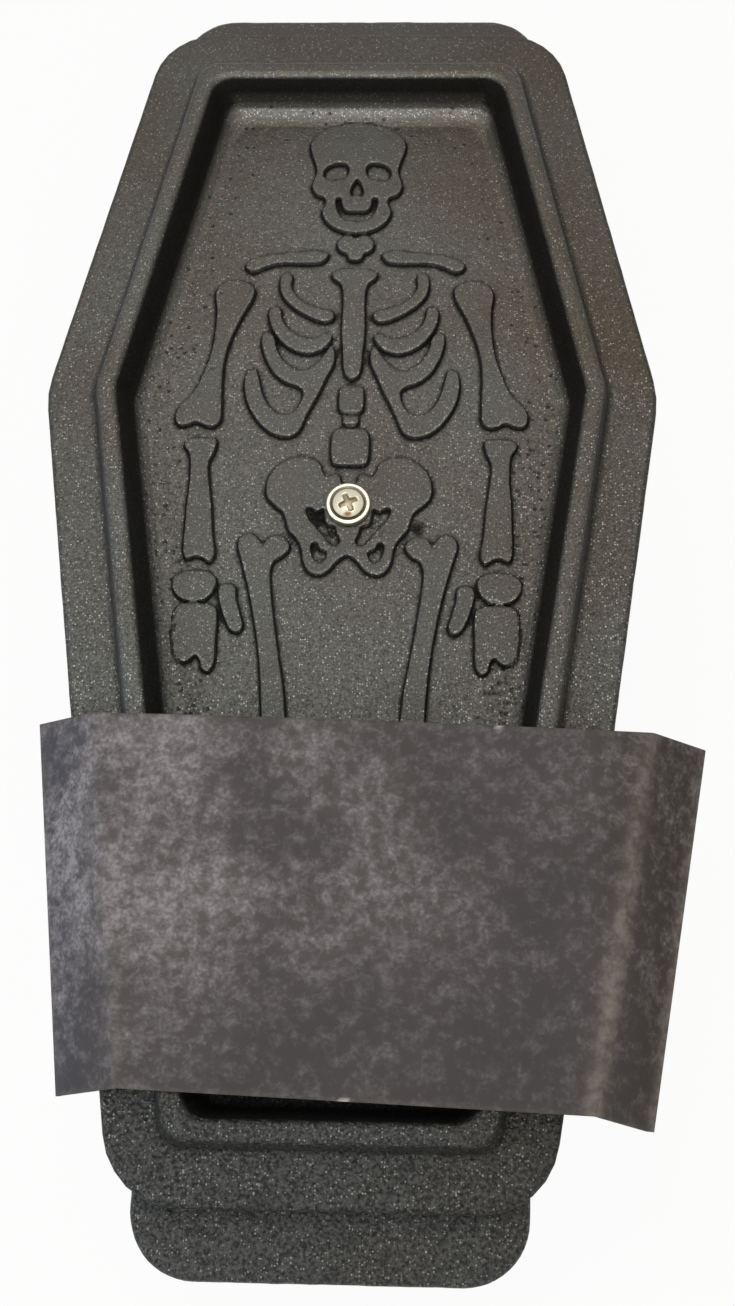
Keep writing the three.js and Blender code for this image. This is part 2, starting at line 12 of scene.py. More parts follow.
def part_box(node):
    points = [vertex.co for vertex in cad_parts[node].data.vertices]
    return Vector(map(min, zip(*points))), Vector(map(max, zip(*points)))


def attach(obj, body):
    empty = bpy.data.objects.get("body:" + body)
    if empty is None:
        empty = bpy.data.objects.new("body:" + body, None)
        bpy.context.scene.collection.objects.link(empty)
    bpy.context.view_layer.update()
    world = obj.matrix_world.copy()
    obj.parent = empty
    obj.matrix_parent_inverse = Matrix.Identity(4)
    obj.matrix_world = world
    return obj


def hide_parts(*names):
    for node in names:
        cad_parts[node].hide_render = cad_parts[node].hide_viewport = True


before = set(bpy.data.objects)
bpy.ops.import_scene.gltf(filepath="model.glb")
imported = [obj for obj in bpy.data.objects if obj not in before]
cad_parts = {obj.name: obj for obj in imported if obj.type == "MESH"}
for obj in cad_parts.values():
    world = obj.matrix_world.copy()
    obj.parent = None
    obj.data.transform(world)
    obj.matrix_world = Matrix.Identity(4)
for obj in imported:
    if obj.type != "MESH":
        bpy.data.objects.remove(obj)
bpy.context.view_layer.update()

bl_info = {
    "name": "Cast iron loaf pan",
    "version": (1, 0, 0),
    "blender": (4, 5, 0),
    "location": "View3D > Sidebar > Loaf pan",
    "description": "Builds a coffin-shaped loaf pan with its lid, knob and card sleeve",
    "category": "Add Mesh",
}

MM = 0.001
CRISP_ANGLE = math.radians(38)


def low_high(node):
    """Lowest and highest corner of a CAD node, in millimetres."""
    return [np.array(corner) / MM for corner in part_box(node)]


LID_LOW, LID_HIGH = low_high("lid")
PAN_LOW, PAN_HIGH = low_high("pan")
KNOB_LOW, KNOB_HIGH = low_high("knob")
SCREW_LOW, SCREW_HIGH = low_high("knob_screw")
WASHER_LOW, WASHER_HIGH = low_high("knob_washer")
LID_MIDDLE = (LID_LOW + LID_HIGH) / 2
SCREW_AXIS = (SCREW_LOW + SCREW_HIGH)[:2] / 2

# The figure on the lid's panel, in millimetres from the shoulder line.
# Bones on the middle line, each as its right half: skull, the nose and mouth cut into it, neck, breast bone,
# three lumbar bones and pelvis.
MIDDLE_BONES = [
    [[0, 82.6], [6, 81.7], [10, 79.5], [12.2, 76.5], [12.2, 74], [11.3, 71], [10.5, 67.5], [11.2, 64.8],
     [11.6, 62.8], [10.4, 60.5], [8.4, 59.6], [7.9, 58], [8.8, 55.2], [7.8, 52.6], [5, 50.2], [0, 49]],
    [[0, 65.3], [1, 64], [1.9, 61], [1.5, 60], [0, 60.4]],
    [[0, 55.5], [2.7, 55.7], [3.6, 57], [4.1, 59.4], [5.4, 59.4], [5.3, 56.2], [3.7, 53.3], [0, 52.4]],
    [[0, 47.2], [2, 48.2], [3.6, 47.5], [4.6, 45.6], [4, 43.8], [2.2, 42.9], [1.5, 41.3], [0, 40.9]],
    [[0, 38.3], [3.5, 38.2], [5.6, 36.9], [5.3, 35.6], [3.6, 34.2], [2.8, 32], [2.8, 20], [2.4, 14.5],
     [2, 9.5], [1.3, 7.6], [0, 7]],
    [[0, 4.8], [2.3, 4.6], [2.8, 3.6], [2.8, -1.2], [2.3, -2.2], [0, -2.4]],
    [[0, -3.3], [1.6, -3.5], [1.8, -4.4], [1.6, -5.4], [0, -5.6]],
    [[0, -7], [3.2, -7.1], [4.2, -8.2], [4.3, -15.3], [3.7, -16.4], [0, -16.6]],
    [[0, -22.4], [1.9, -21.6], [2.4, -19.9], [3.3, -19], [4.4, -19.5], [5.6, -19.9], [6.6, -18.6],
     [7.6, -16.2], [9.6, -14.9], [12.6, -14.5], [16, -15.8], [18.8, -18.7], [20, -22.2], [19.7, -25.2],
     [18, -27.3], [15.8, -29.2], [14.9, -31.4], [14.2, -33.8], [12.2, -36.2], [11, -38.6],
     [10.4, -42], [9, -44.6], [6.8, -45.4], [4.6, -44.4], [2.4, -41.8], [0, -40.3]],
]

# Outlines in pairs: the right one, from which the left one is mirrored. Eye socket, pelvis sockets, then
# collar bone, ribs, arm, hand and leg.
PAIRED_BONES = [
    [[2.1, 68.2], [3, 69.8], [5.3, 70.1], [8, 68.9], [9, 66.8], [8.4, 65.1], [5.5, 64.9], [2.8, 65.8]],
    [[10.3, -28.3], [10, -30.5], [8.2, -32.8], [6.1, -35.3], [4.2, -37.7], [2.4, -38], [1.7, -36.8],
     [2.6, -34.5], [3, -32.9], [4.9, -32.4], [5.6, -30], [5.9, -28.2], [7.6, -28.9], [9.2, -27.9]],
    [[8.6, -37.2], [7.2, -37.2], [6.6, -38.7], [5, -39.3], [4.9, -41], [6, -42.3], [7.6, -41.9],
     [8.8, -39.9]],
    [[7, 42.6], [8.3, 40.5], [11, 40], [19.5, 39.9], [23, 38.8], [25.8, 37.5], [27.7, 38.4],
     [27.6, 39.9], [24.5, 41.8], [19, 42.8], [9, 43.5]],
    [[17.2, 37.2], [18.5, 36.2], [18.8, 33], [18, 30.2], [15.6, 27.4], [12, 24.9], [9, 23.4], [6.4, 23.1],
     [5.2, 24], [5.4, 25.8], [9.2, 27], [12.4, 28.4], [15, 30.7], [16.2, 33], [16.1, 36.2]],
    [[20, 27.4], [21.2, 26.2], [21, 22.8], [19.7, 19.8], [17.3, 16.7], [14.3, 14.7], [11, 14], [8.2, 14.9],
     [6.2, 16.8], [5.4, 18.6], [6.4, 19.7], [9, 18.5], [12, 18.5], [14.8, 19.6], [17, 21.6], [18.2, 24],
     [18.8, 26.6]],
    [[21.8, 19.9], [22.8, 18.5], [22.5, 15], [21.2, 11.5], [19.2, 8.2], [16.4, 5.9], [13.8, 4.9], [12.1, 3.6],
     [12.2, 1], [13.6, -1.8], [15.8, -3], [18.3, -2.7], [20.5, -0.8], [22.4, 3], [23.4, 7], [24.3, 9.4],
     [25.6, 9.3], [26.6, 6.5], [26, 1], [23.8, -3.6], [20.5, -7.4], [17.4, -8.9], [14.6, -8.9], [12.9, -7.6],
     [11, -3], [8, 3.4], [6.3, 7.6], [4.8, 11], [4.6, 13.8], [5.3, 15.9], [7.2, 13.2], [9.8, 10.3],
     [12.5, 9.2], [15.2, 10.1], [17.6, 12.2], [19.2, 15], [20.2, 18.6]],
    [[27.5, 34.3], [30.5, 34.9], [33.5, 33.9], [35.1, 31.3], [34.6, 26], [34.7, 20], [35.5, 13.5],
     [37.3, 7.5], [39.5, 2.5], [42.3, -0.6], [43.4, -3.6], [42.6, -6], [40.6, -6], [38.2, -5.1], [36.2, -6],
     [34.2, -6.4], [32.5, -5], [32.3, -1], [32.5, 6], [32.2, 12], [30.8, 18], [28.3, 24.5], [25.8, 29.8],
     [25.6, 32.5]],
    [[33.2, -10], [36, -9.6], [39.2, -9.7], [40.7, -11.3], [39.3, -14], [38.8, -20], [39.2, -27], [39.3, -34],
     [39.3, -39.5], [38.6, -41.6], [36.6, -40.9], [34.6, -41.3], [33, -42.3], [32, -40.5], [32.8, -35],
     [33.4, -28], [34.4, -21], [34.7, -16.5], [33.4, -13]],
    [[31.2, -47], [32, -50.2], [34.2, -52.1], [38.4, -52.1], [40.8, -50.2], [41.4, -47.2], [39.5, -45.2],
     [36, -44.6], [32.9, -45.1]],
    [[31, -54], [33, -53.2], [39, -53.3], [40.6, -55], [40.8, -60], [40.4, -65], [38.8, -67.4], [36.8, -67.3],
     [35, -65.8], [33.9, -67], [33.3, -69.2], [32, -69.9], [30.9, -68.5], [30.6, -62]],
    [[27.6, -48], [29.4, -48.3], [30.3, -50], [29.6, -53.5], [28.4, -57], [26.9, -59.6], [25.2, -60],
     [24.4, -58.6], [25.2, -55.5], [26.3, -51.5], [26.5, -49]],
    [[14, -38.4], [14.9, -36.5], [16.9, -35.5], [18.9, -36.1], [20.3, -37.9], [21.7, -36.2], [23.6, -34.9],
     [25.6, -35.9], [26.2, -38], [25, -42.5], [23, -50], [21.3, -58], [20, -66], [19.2, -74], [18.8, -82],
     [19.5, -88], [20.5, -92], [19.3, -95], [16.5, -94.2], [13.5, -95], [11.5, -92.5], [12.3, -88],
     [13.3, -82], [14.2, -74], [15.6, -66], [16.9, -58], [18, -50], [18.4, -45], [17.6, -42], [15.4, -40.5]],
    [[12, -98.5], [15.8, -97.6], [19.6, -98.3], [20.2, -100.8], [18.4, -105], [17.4, -113], [16.9, -122],
     [16.9, -131], [17.8, -135.5], [17, -138.2], [14.2, -137.8], [11.8, -138.4], [11.2, -135.5], [12.2, -130],
     [12.6, -121], [12.6, -112], [12.3, -105], [11.3, -101]],
    [[11.2, -141.2], [14.3, -140.6], [17.4, -141.2], [19, -145], [20.4, -150.5], [20.6, -155], [18.6, -157.2],
     [15.8, -156], [13, -157], [11.4, -154.5], [11.2, -148]],
]

# Rough dark spots where the mould crumbled, as [x, y, radius, darkness] on the figure: the pelvis sockets,
# the gap between two lumbar bones, beside the breast bone's end and beside the pelvis
MOULD_FLAWS = [
    [-7.2, -30.4, 3.2, 1], [-4.2, -34.6, 2, 0.75], [6.4, -32, 3, 0.5], [-6.8, -39.8, 2, 0.4],
    [6.8, -39.8, 2, 0.4], [0, -4.6, 2.6, 0.75], [4.2, 12.6, 2, 0.8], [16.8, -33, 2.2, 0.9],
]

# Small chips in the card's cut edges, as [x, end] with end 1 at the head side and -1 at the foot side
CARD_NICKS = [[28.3, 1], [-2.1, -1]]


def linear(code):
    """An sRGB hex colour as linear red, green and blue."""
    share = np.array([int(code[i:i + 2], 16) for i in (1, 3, 5)]) / 255
    return tuple(np.where(share <= 0.04045, share / 12.92, ((share + 0.055) / 1.055) ** 2.4).tolist())


def size(name, description, millimetres):
    """A length property, written in millimetres and held in metres."""
    return bpy.props.FloatProperty(
        name=name, description=description, default=millimetres * MM, unit="LENGTH", precision=5
    )


def angle(name, description, degrees):
    """An angle property, written in degrees and held in radians."""
    return bpy.props.FloatProperty(
        name=name, description=description, default=math.radians(degrees), unit="ROTATION", subtype="ANGLE"
    )


def colour(name, description, code):
    """A colour property, written as an sRGB hex value and held in linear light."""
    return bpy.props.FloatVectorProperty(
        name=name, description=description, default=linear(code), subtype="COLOR", min=0, max=1
    )


class CoffinSizes(bpy.types.PropertyGroup):
    """Outline of the lid's flange, which the pan and the sleeve follow."""

    length: size("Length", "Head end to foot end of the flange", LID_HIGH[1] - LID_LOW[1])
    head_width: size("Head width", "Width at the head end, between sharp corners", 103)
    shoulder_width: size("Shoulder width", "Greatest width, between sharp corners", 150)
    foot_width: size("Foot width", "Width at the foot end, between sharp corners", 91.5)
    head_to_shoulder: size("Head to shoulder", "Distance from the head end to the widest place", 107)
    head_corner: size("Head corner", "Corner radius at the head end", 16)
    shoulder_corner: size("Shoulder corner", "Corner radius at the widest place", 24)
    foot_corner: size("Foot corner", "Corner radius at the foot end", 17)
    least_corner: size("Least corner", "Smallest corner radius of an outline drawn in", 6)


class LidSizes(bpy.types.PropertyGroup):
    """Lid, seen from its underside, which faces up."""

    flange_thickness: size("Flange thickness", "Thickness of the flat border", 6)
    flange_edge: size("Flange edge", "Rounding of the border's edges", 1.2)
    rib_inset: size("Rib inset", "From the flange's edge to the rib", 11.7)
    rib_lean: size("Rib lean", "How far the rib's outer side leans in", 1.8)
    rib_crest: size("Rib crest", "Width of the rib's flat top", 4.1)
    rib_height: size("Rib height", "Height of the rib above the flange", 5.6)
    rib_edge: size("Rib edge", "Rounding of the rib's top edges", 1.5)
    recess_depth: size("Recess depth", "From the rib's top down to the panel", 11.6)
    recess_lean: size("Recess lean", "How far the recess wall leans in over its depth", 3.48)
    recess_fillet: size("Recess fillet", "Hollow rounding between wall and panel", 5)
    panel_thickness: size("Panel thickness", "Thickness of the sunk panel", 4.5)
    panel_wall: size("Panel wall", "Thickness of the wall round the panel", 5)
    panel_edge: size("Panel edge", "Rounding of the panel's outer edge", 2.5)
    bone_height: size("Bone height", "Height of the figure above the panel", 1.2)
    bone_slope: size("Bone slope", "Width of the steep side of a bone", 0.4)
    unevenness: size("Unevenness", "Slow waves of the casting's surface", 0.05)


class PanSizes(bpy.types.PropertyGroup):
    """Pan, a deep tub with a thick rim and a handle tab at each end."""

    rim_margin: size("Rim margin", "From the lid's edge in to the rim's edge", 2.5)
    rim_width: size("Rim width", "Width of the rim's flat top", 8)
    rim_depth: size("Rim depth", "Thickness of the rim", 7)
    rim_edge: size("Rim edge", "Rounding of the rim's and the tabs' edges", 1.6)
    wall_thickness: size("Wall thickness", "Thickness of the tub's wall", 5)
    wall_lean: size("Wall lean", "How far the wall leans in over the tub's height", 8.54)
    base_thickness: size("Base thickness", "Thickness of the tub's floor", 5)
    base_corner: size("Base corner", "Rounding under the tub", 6)
    floor_corner: size("Floor corner", "Hollow rounding inside the tub", 8)
    head_tab_width: size("Head tab width", "Width of the handle tab at the head end", 96)
    foot_tab_width: size("Foot tab width", "Width of the handle tab at the foot end", 84.4)
    tab_corner: size("Tab corner", "Corner radius of a handle tab", 14)
    unevenness: size("Unevenness", "Slow waves of the casting's surface", 0.08)


class FasteningSizes(bpy.types.PropertyGroup):
    """Knob with the screw and washer that hold it to the lid."""

    screw_diameter: size("Screw diameter", "Diameter of the screw's shank", 4)
    cone_height: size("Cone height", "Height of the cone under the screw's head", 1.1)
    crown_height: size("Crown height", "Height of the low crown on the screw's head", 0.8)
    cross_width: size("Cross width", "Width of an arm of the cross recess", 1.1)
    cross_span: size("Cross span", "Length of an arm of the cross recess, tip to tip", 4.6)
    cross_depth: size("Cross depth", "Depth of the cross recess", 1.0)
    cross_turn: angle("Cross turn", "How far the cross recess is turned", 24)
    cup_gap: size("Cup gap", "Gap between the screw's head and the washer's cup", 0.75)
    washer_edge: size("Washer edge", "Rounding of the washer's outer edge", 0.4)
    knob_base: size("Knob base", "Diameter of the knob's foot", 19)
    knob_base_height: size("Knob base height", "Height of the knob's foot", 4)
    knob_neck: size("Knob neck", "Diameter of the knob's neck", 13)
    knob_head_height: size("Knob head height", "Height of the knob's head", 14)
    knob_edge: size("Knob edge", "Rounding of the knob's head", 4)
    clearance: size("Clearance", "Play round the screw's shank", 0.4)


class SleeveSizes(bpy.types.PropertyGroup):
    """Card sleeve, loose on the lid and pushed aside, open underneath."""

    length: size("Length", "From the head edge to the foot edge", 82.5)
    to_foot: size("To foot", "From the lid's foot end to the sleeve's middle", 61.7)
    shift: size("Shift", "How far it is pushed to the right", 6)
    turn: angle("Turn", "How far it is turned on the lid", -1.38)
    play: size("Play", "From the flange's edge out to each crease when the sleeve is centred", 0.5)
    bevel: size("Bevel", "Width of the slanted strip beside the top", 19.1)
    right_slope: angle("Right slope", "Slope of the right bevel, which hangs free", 44)
    left_lean: size("Left lean", "How far the left side leans in", 5)
    right_lean: size("Right lean", "How far the right side leans in", 13)
    floor_gap: size("Floor gap", "From what the pan stands on up to the sleeve", 1.5)
    thickness: size("Thickness", "Thickness of the card", 0.6)
    fold: size("Fold", "Inner radius of a crease", 1.1)
    head_bow: size("Head bow", "How far the top bows up at the head edge", 1.6)
    foot_bow: size("Foot bow", "How far the top bows up at the foot edge", 1.2)
    tuck: size("Tuck", "How far the sides are cut back at the bottom of the foot edge", 5)
    left_trim: size("Left trim", "How far the foot edge is cut back at the left crease", 1.8)
    right_trim: size("Right trim", "How far the foot edge is cut back at the right crease", 0.6)
    corner_reach: size("Corner reach", "How far the right bevel reaches past the foot edge", 1.6)
    seat_gap: size("Seat gap", "Play between the card and the lid", 0.3)


class Finishes(bpy.types.PropertyGroup):
    """Colours of the surfaces."""

    # Warm and cool iron are mixed in random patches and by a painted light tint: browner at the head end and
    # on the right, greyer towards the foot
    iron_warm: colour("Iron, warm", "Seasoned iron where the oil has browned", "#403a31")
    iron_cool: colour("Iron, cool", "Seasoned iron where it is greyest", "#4f5353")
    # Painted shade in corners, on the recess wall and over the foot end, and the colour of pits and mould
    # flaws
    iron_dark: colour("Iron, hollows", "Thick seasoning in corners and pits", "#0e0d0c")
    # Painted glints on the grain, and painted highlights on edges that face the foot
    iron_fleck: colour("Iron, flecks", "Bare facets of the grain that catch the light", "#c0c1bd")
    zinc: colour("Zinc", "Plated screw and washer", "#d0cbb6")
    # Painted shade in the screw's cross recess and round its head
    zinc_grime: colour("Zinc grime", "Dark corners and the cross recess of the screw", "#6b634d")
    zinc_stain: colour("Zinc stain", "Rust spot on the screw", "#7c4a33")
    steel: colour("Stainless steel", "Turned knob", "#b4b3af")
    print_dark: colour("Print, dark", "Ground of the print where the ink lies thick", "#413e3f")
    # Shows most at the upper left, where a painted sheen thins the dark ink
    print_brown: colour("Print, brown", "Ground of the print where the ink lies thin", "#615d5d")
    print_light: colour("Print, light", "Pale mottle of the print", "#9b979c")
    # Painted cool light on the left bevel
    print_blue: colour("Print, blue", "Slate tint on the left bevel", "#45474f")
    # Painted shade on the right bevel
    print_umber: colour("Print, umber", "Brown tint on the right bevel", "#352e27")
    # Rubbed print along creases and cut edges, and a painted highlight along the right crease
    card_worn: colour("Card, worn", "Print rubbed thin along the creases", "#8d867f")
    card_bare: colour("Card, bare", "Unprinted board inside and at cut edges", "#d9d3c8")
    floor: colour("Floor", "Plain pale floor", "#fbfbfa")


def millimetres(group):
    """The lengths of a property group in millimetres, by name. Angles stay in radians."""
    units = {key: group.bl_rna.properties[key].unit for key in group.__annotations__}
    return SimpleNamespace(
        **{key: getattr(group, key) / (MM if unit == "LENGTH" else 1) for key, unit in units.items()}
    )


def settings(context):
    """The panel's sizes in millimetres, and its colours."""
    scene = context.scene
    groups = ("coffin", "lid", "pan", "fastening", "sleeve")
    sizes = {name: millimetres(getattr(scene, f"loaf_{name}")) for name in groups}
    return SimpleNamespace(**sizes, finish=scene.loaf_finish)


# Outlines and profiles

def unit(vectors):
    """Vectors brought to length one."""
    return vectors / np.linalg.norm(vectors, axis=-1, keepdims=True)


def swung(points, centres, angles):
    """Points turned about centres: the arm from the centre times the cosine, plus the arm at a right angle
    times the sine."""
    arm = points - centres
    crosswise = np.stack([-arm[..., 1], arm[..., 0]], -1)
    return centres + arm * np.cos(angles)[..., None] + crosswise * np.sin(angles)[..., None]


def corner_arcs(path, radii):
    """Arcs that round the inner corners of a path: where each starts and stops, its centre and its turn.
    The centre lies on the bisector at radius over the sine of half the corner's angle."""
    corner = path[..., 1:-1, :]
    back = unit(path[..., :-2, :] - corner)
    ahead = unit(path[..., 2:, :] - corner)
    half = np.arccos((back * ahead).sum(-1)) / 2
    reach = (radii / np.tan(half))[..., None]
    centre = corner + unit(back + ahead) * (radii / np.sin(half))[..., None]
    side = np.sign(ahead[..., 0] * back[..., 1] - ahead[..., 1] * back[..., 0])
    return corner + back * reach, corner + ahead * reach, centre, side * (np.pi - 2 * half)


def rounded(corners, steps):
    """A profile of [across, up, radius] corners as points: each inner corner becomes an arc of even steps."""
    corners = np.asarray(corners, float)
    start, _, centre, turn = corner_arcs(corners[:, :2], corners[1:-1, 2])
    share = np.linspace(0, 1, steps + 1)
    arcs = swung(start[:, None], centre[:, None], turn[:, None] * share)
    return np.vstack([corners[:1, :2], arcs.reshape(-1, 2), corners[-1:, :2]])


def supported(profile, gap, longest):
    """The profile with points added on its long straight stretches: one a small gap inside each end, which
    keeps flat faces flat under smooth shading, and more between them at the longest spacing."""
    pieces = []
    for here, after in zip(profile[:-1], profile[1:]):
        run = np.linalg.norm(after - here)
        inner = np.linspace(gap, run - gap, int(run // longest) + 2) / run if run > 3 * gap else np.empty(0)
        pieces.append(here + np.outer(np.r_[0, inner], after - here))
    return np.vstack([*pieces, profile[-1:]])


def slants(coffin):
    """How much the half width shrinks per millimetre, towards the head and towards the foot."""
    shoulder_to_foot = coffin.length - coffin.head_to_shoulder
    return (
        (coffin.shoulder_width - coffin.head_width) / 2 / coffin.head_to_shoulder,
        (coffin.shoulder_width - coffin.foot_width) / 2 / shoulder_to_foot,
    )


def half_width(coffin, y):
    """Half width of the sharp-cornered coffin at a height y from its middle."""
    rise = y - (coffin.length / 2 - coffin.head_to_shoulder)
    headward, footward = slants(coffin)
    return coffin.shoulder_width / 2 - np.where(rise > 0, headward * rise, -footward * rise)


def coffin_side(coffin, inset, along):
    """Right-hand edge of the coffin outline drawn in by an inset. A place along it runs from 0 to 5: the foot
    corner's arc, the lower side, the shoulder's arc, the upper side and the head corner's arc, one each."""
    headward, footward = slants(coffin)
    top = coffin.length / 2 - inset
    shoulder_y = coffin.length / 2 - coffin.head_to_shoulder
    head_gap, foot_gap = inset * math.hypot(1, headward), inset * math.hypot(1, footward)
    rise = (head_gap - foot_gap) / (headward + footward)
    shoulder = coffin.shoulder_width / 2 - footward * rise - foot_gap
    path = np.array([
        [0, -top],
        [half_width(coffin, -top) - foot_gap, -top],
        [shoulder, shoulder_y - rise],
        [half_width(coffin, top) - head_gap, top],
        [0, top],
    ])
    radii = np.array([coffin.foot_corner, coffin.shoulder_corner, coffin.head_corner]) - inset
    start, stop, centre, turn = corner_arcs(path, np.maximum(radii, coffin.least_corner))
    segment = np.minimum(along.astype(int), 4)
    part = along - segment
    corner = segment // 2
    arc = swung(start[corner], centre[corner], turn[corner] * part)
    straight = stop[corner] + (start[np.minimum(corner + 1, 2)] - stop[corner]) * part[:, None]
    return np.where((segment % 2 == 0)[:, None], arc, straight)


def places(arc_steps, lower_steps, upper_steps, shoulder_steps):
    """Places along a coffin's side: even steps on every arc, and on the lower side one run of steps for each
    [share, count] pair."""
    stops = np.cumsum([0] + [share for share, _ in lower_steps])
    lower = [np.linspace(a, b, n, endpoint=False) for a, b, (_, n) in zip(stops, stops[1:], lower_steps)]
    return np.concatenate([
        np.linspace(0, 1, arc_steps, endpoint=False),
        1 + np.concatenate(lower),
        np.linspace(2, 3, shoulder_steps, endpoint=False),
        np.linspace(3, 4, upper_steps, endpoint=False),
        np.linspace(4, 5, arc_steps + 1),
    ])


def ring(side, across):
    """Closed loop round an outline, anticlockwise, from its right-hand side: the foot edge, the right side,
    the head edge and the left side. Across holds places from -1 to 1 on the two end edges."""
    foot = np.outer(across, [side[0, 0], 0]) + [0, side[0, 1]]
    head = np.outer(across[::-1], [side[-1, 0], 0]) + [0, side[-1, 1]]
    left = side[::-1] * [-1, 1]
    return np.vstack([foot, side[1:], head[1:], left[1:-1]])


def filling(side, across):
    """Grid that fills an outline in rows from foot to head: each row runs straight across at its height."""
    return np.stack([np.outer(side[:, 0], across), np.repeat(side[:, 1:], len(across), 1)], -1)


def level(flat, z):
    """Flat points set at a height."""
    return np.concatenate([flat, np.broadcast_to(np.asarray(z, float)[..., None], (*flat.shape[:-1], 1))], -1)


# Faces of grids and of bands between rings

def grid_faces(rows, columns):
    """Quads of a grid, facing the side from which rows go up and columns go right."""
    index = np.arange(rows * columns).reshape(rows, columns)
    return np.stack([index[:-1, :-1], index[:-1, 1:], index[1:, 1:], index[1:, :-1]], -1).reshape(-1, 4)


def level_split(points, quads):
    """Quads cut into triangles along the diagonal whose two ends lie closer in height, so that a cut follows
    an edge in relief and doesn't run across it."""
    z = points[quads, 2]
    first = abs(z[:, 0] - z[:, 2]) <= abs(z[:, 1] - z[:, 3])
    one, other = quads[first], quads[~first]
    return np.concatenate([one[:, [0, 1, 2]], one[:, [0, 2, 3]], other[:, [0, 1, 3]], other[:, [1, 2, 3]]])


def grid_border(rows, columns):
    """Indices round a grid's border, in the order of ring."""
    index = np.arange(rows * columns).reshape(rows, columns)
    return np.concatenate([index[0], index[1:, -1], index[-1, -2::-1], index[-2:0:-1, 0]])


def band(inner, outer):
    """Quads between two closed loops of indices of equal length, from the first loop out to the second."""
    return np.stack([inner, outer, np.roll(outer, -1), np.roll(inner, -1)], -1)


def halving_band(dense, sparse):
    """Triangles between two closed loops of indices, the second with half as many points: one triangle on
    each edge of the dense loop and one on each edge of the sparse loop."""
    even, odd, later = dense[::2], dense[1::2], np.roll(dense[::2], -1)
    after = np.roll(sparse, -1)
    return np.concatenate([
        np.stack([even, sparse, odd], -1),
        np.stack([odd, sparse, after], -1),
        np.stack([odd, after, later], -1),
    ])


def bands(first, count, length):
    """Quads through a stack of closed rings of equal length, whose points follow each other from an index."""
    loops = first + np.arange(count * length).reshape(count, length)
    return np.concatenate([band(a, b) for a, b in zip(loops[:-1], loops[1:])])


def cast_waves(points):
    """Slow unevenness of a sand casting, about -1 to 1: the mean of plane waves whose headings are spread by
    the golden angle and whose lengths grow step by step from the shortest."""
    count, shortest, growth = 10, 4, 1.16
    step = np.arange(count)
    heading = step * math.pi * (3 - math.sqrt(5))
    pitch = shortest * growth ** step
    waves = np.stack([np.cos(heading), np.sin(heading), np.cos(1.7 * heading + 1)], -1) / pitch[:, None]
    return np.sin(points @ waves.T * 2 * math.pi + step ** 2).mean(-1) * 2


def mesh_piece(name, points, faces, materials, body, node, attributes=(), material_of_face=None):
    """A smooth-shaded object of points in millimetres and lists of triangles or quads, which stands for a CAD
    node, rides on its body and carries its materials."""
    mesh = bpy.data.meshes.new(name)
    corners = np.concatenate([part.ravel() for part in faces]).astype(np.int32)
    totals = np.concatenate([np.full(len(part), part.shape[1]) for part in faces])
    mesh.vertices.add(len(points))
    mesh.vertices.foreach_set("co", (points * MM).astype(np.float32).ravel())
    mesh.loops.add(len(corners))
    mesh.loops.foreach_set("vertex_index", corners)
    mesh.polygons.add(len(totals))
    mesh.polygons.foreach_set("loop_start", (totals.cumsum() - totals).astype(np.int32))
    mesh.polygons.foreach_set("use_smooth", np.ones(len(totals), bool))
    for material in materials:
        mesh.materials.append(material)
    if material_of_face is not None:
        mesh.polygons.foreach_set("material_index", material_of_face.astype(np.int32))
    for key, values in dict(attributes).items():
        mesh.attributes.new(key, "FLOAT", "POINT").data.foreach_set("value", values.astype(np.float32))
    mesh.update(calc_edges=True)
    piece = bpy.data.objects.new(name, mesh)
    bpy.context.scene.collection.objects.link(piece)
    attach(piece, body)
    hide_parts(node)
    return piece


def roughen(piece, height):
    """Moves every point of a piece along its normal by the casting's slow unevenness times a height."""
    mesh = piece.data
    place, normal = np.empty((2, len(mesh.vertices) * 3), np.float32)
    mesh.vertices.foreach_get("co", place)
    mesh.vertex_normals.foreach_get("vector", normal)
    place, normal = place.reshape(-1, 3), normal.reshape(-1, 3)
    place += normal * (cast_waves(place / MM) * height * MM)[:, None]
    mesh.vertices.foreach_set("co", place.ravel())
    mesh.update()


# The figure in relief

# Greatest distance from an outline that is worked out
FAR = 2.0


def smooth_loop(points, steps):
    """Closed centripetal Catmull-Rom curve through points: on each span a cubic between its two points, whose
    tangents weigh the neighbouring chords by the square roots of their lengths."""
    here = np.asarray(points, float)
    before, after, later = np.roll(here, 1, 0), np.roll(here, -1, 0), np.roll(here, -2, 0)
    gap = np.sqrt(np.linalg.norm(after - here, axis=1))[:, None]
    gap_before, gap_after = np.roll(gap, 1, 0), np.roll(gap, -1, 0)
    out = (here - before) / gap_before - (after - before) / (gap_before + gap) + (after - here) / gap
    into = (after - here) / gap - (later - here) / (gap + gap_after) + (later - after) / gap_after
    out, into = (tangent * gap for tangent in (out, into))
    t = np.linspace(0, 1, steps, endpoint=False)[:, None]
    spans = (
        (2 * t ** 3 - 3 * t ** 2 + 1) * here[:, None] + (t ** 3 - 2 * t ** 2 + t) * out[:, None]
        + (3 * t ** 2 - 2 * t ** 3) * after[:, None] + (t ** 3 - t ** 2) * into[:, None]
    )
    return spans.reshape(-1, 2)


def bone_outlines(shoulder_y, steps):
    """Every closed outline of the figure, sockets included, on the lid's panel."""
    mirror = np.array([-1, 1])
    whole = [half + (np.array(half[1:-1]) * mirror)[::-1].tolist() for half in MIDDLE_BONES]
    pairs = [side for bone in PAIRED_BONES for side in (bone, np.array(bone) * mirror)]
    return [smooth_loop(points, steps) + [0, shoulder_y] for points in [*whole, *pairs]]


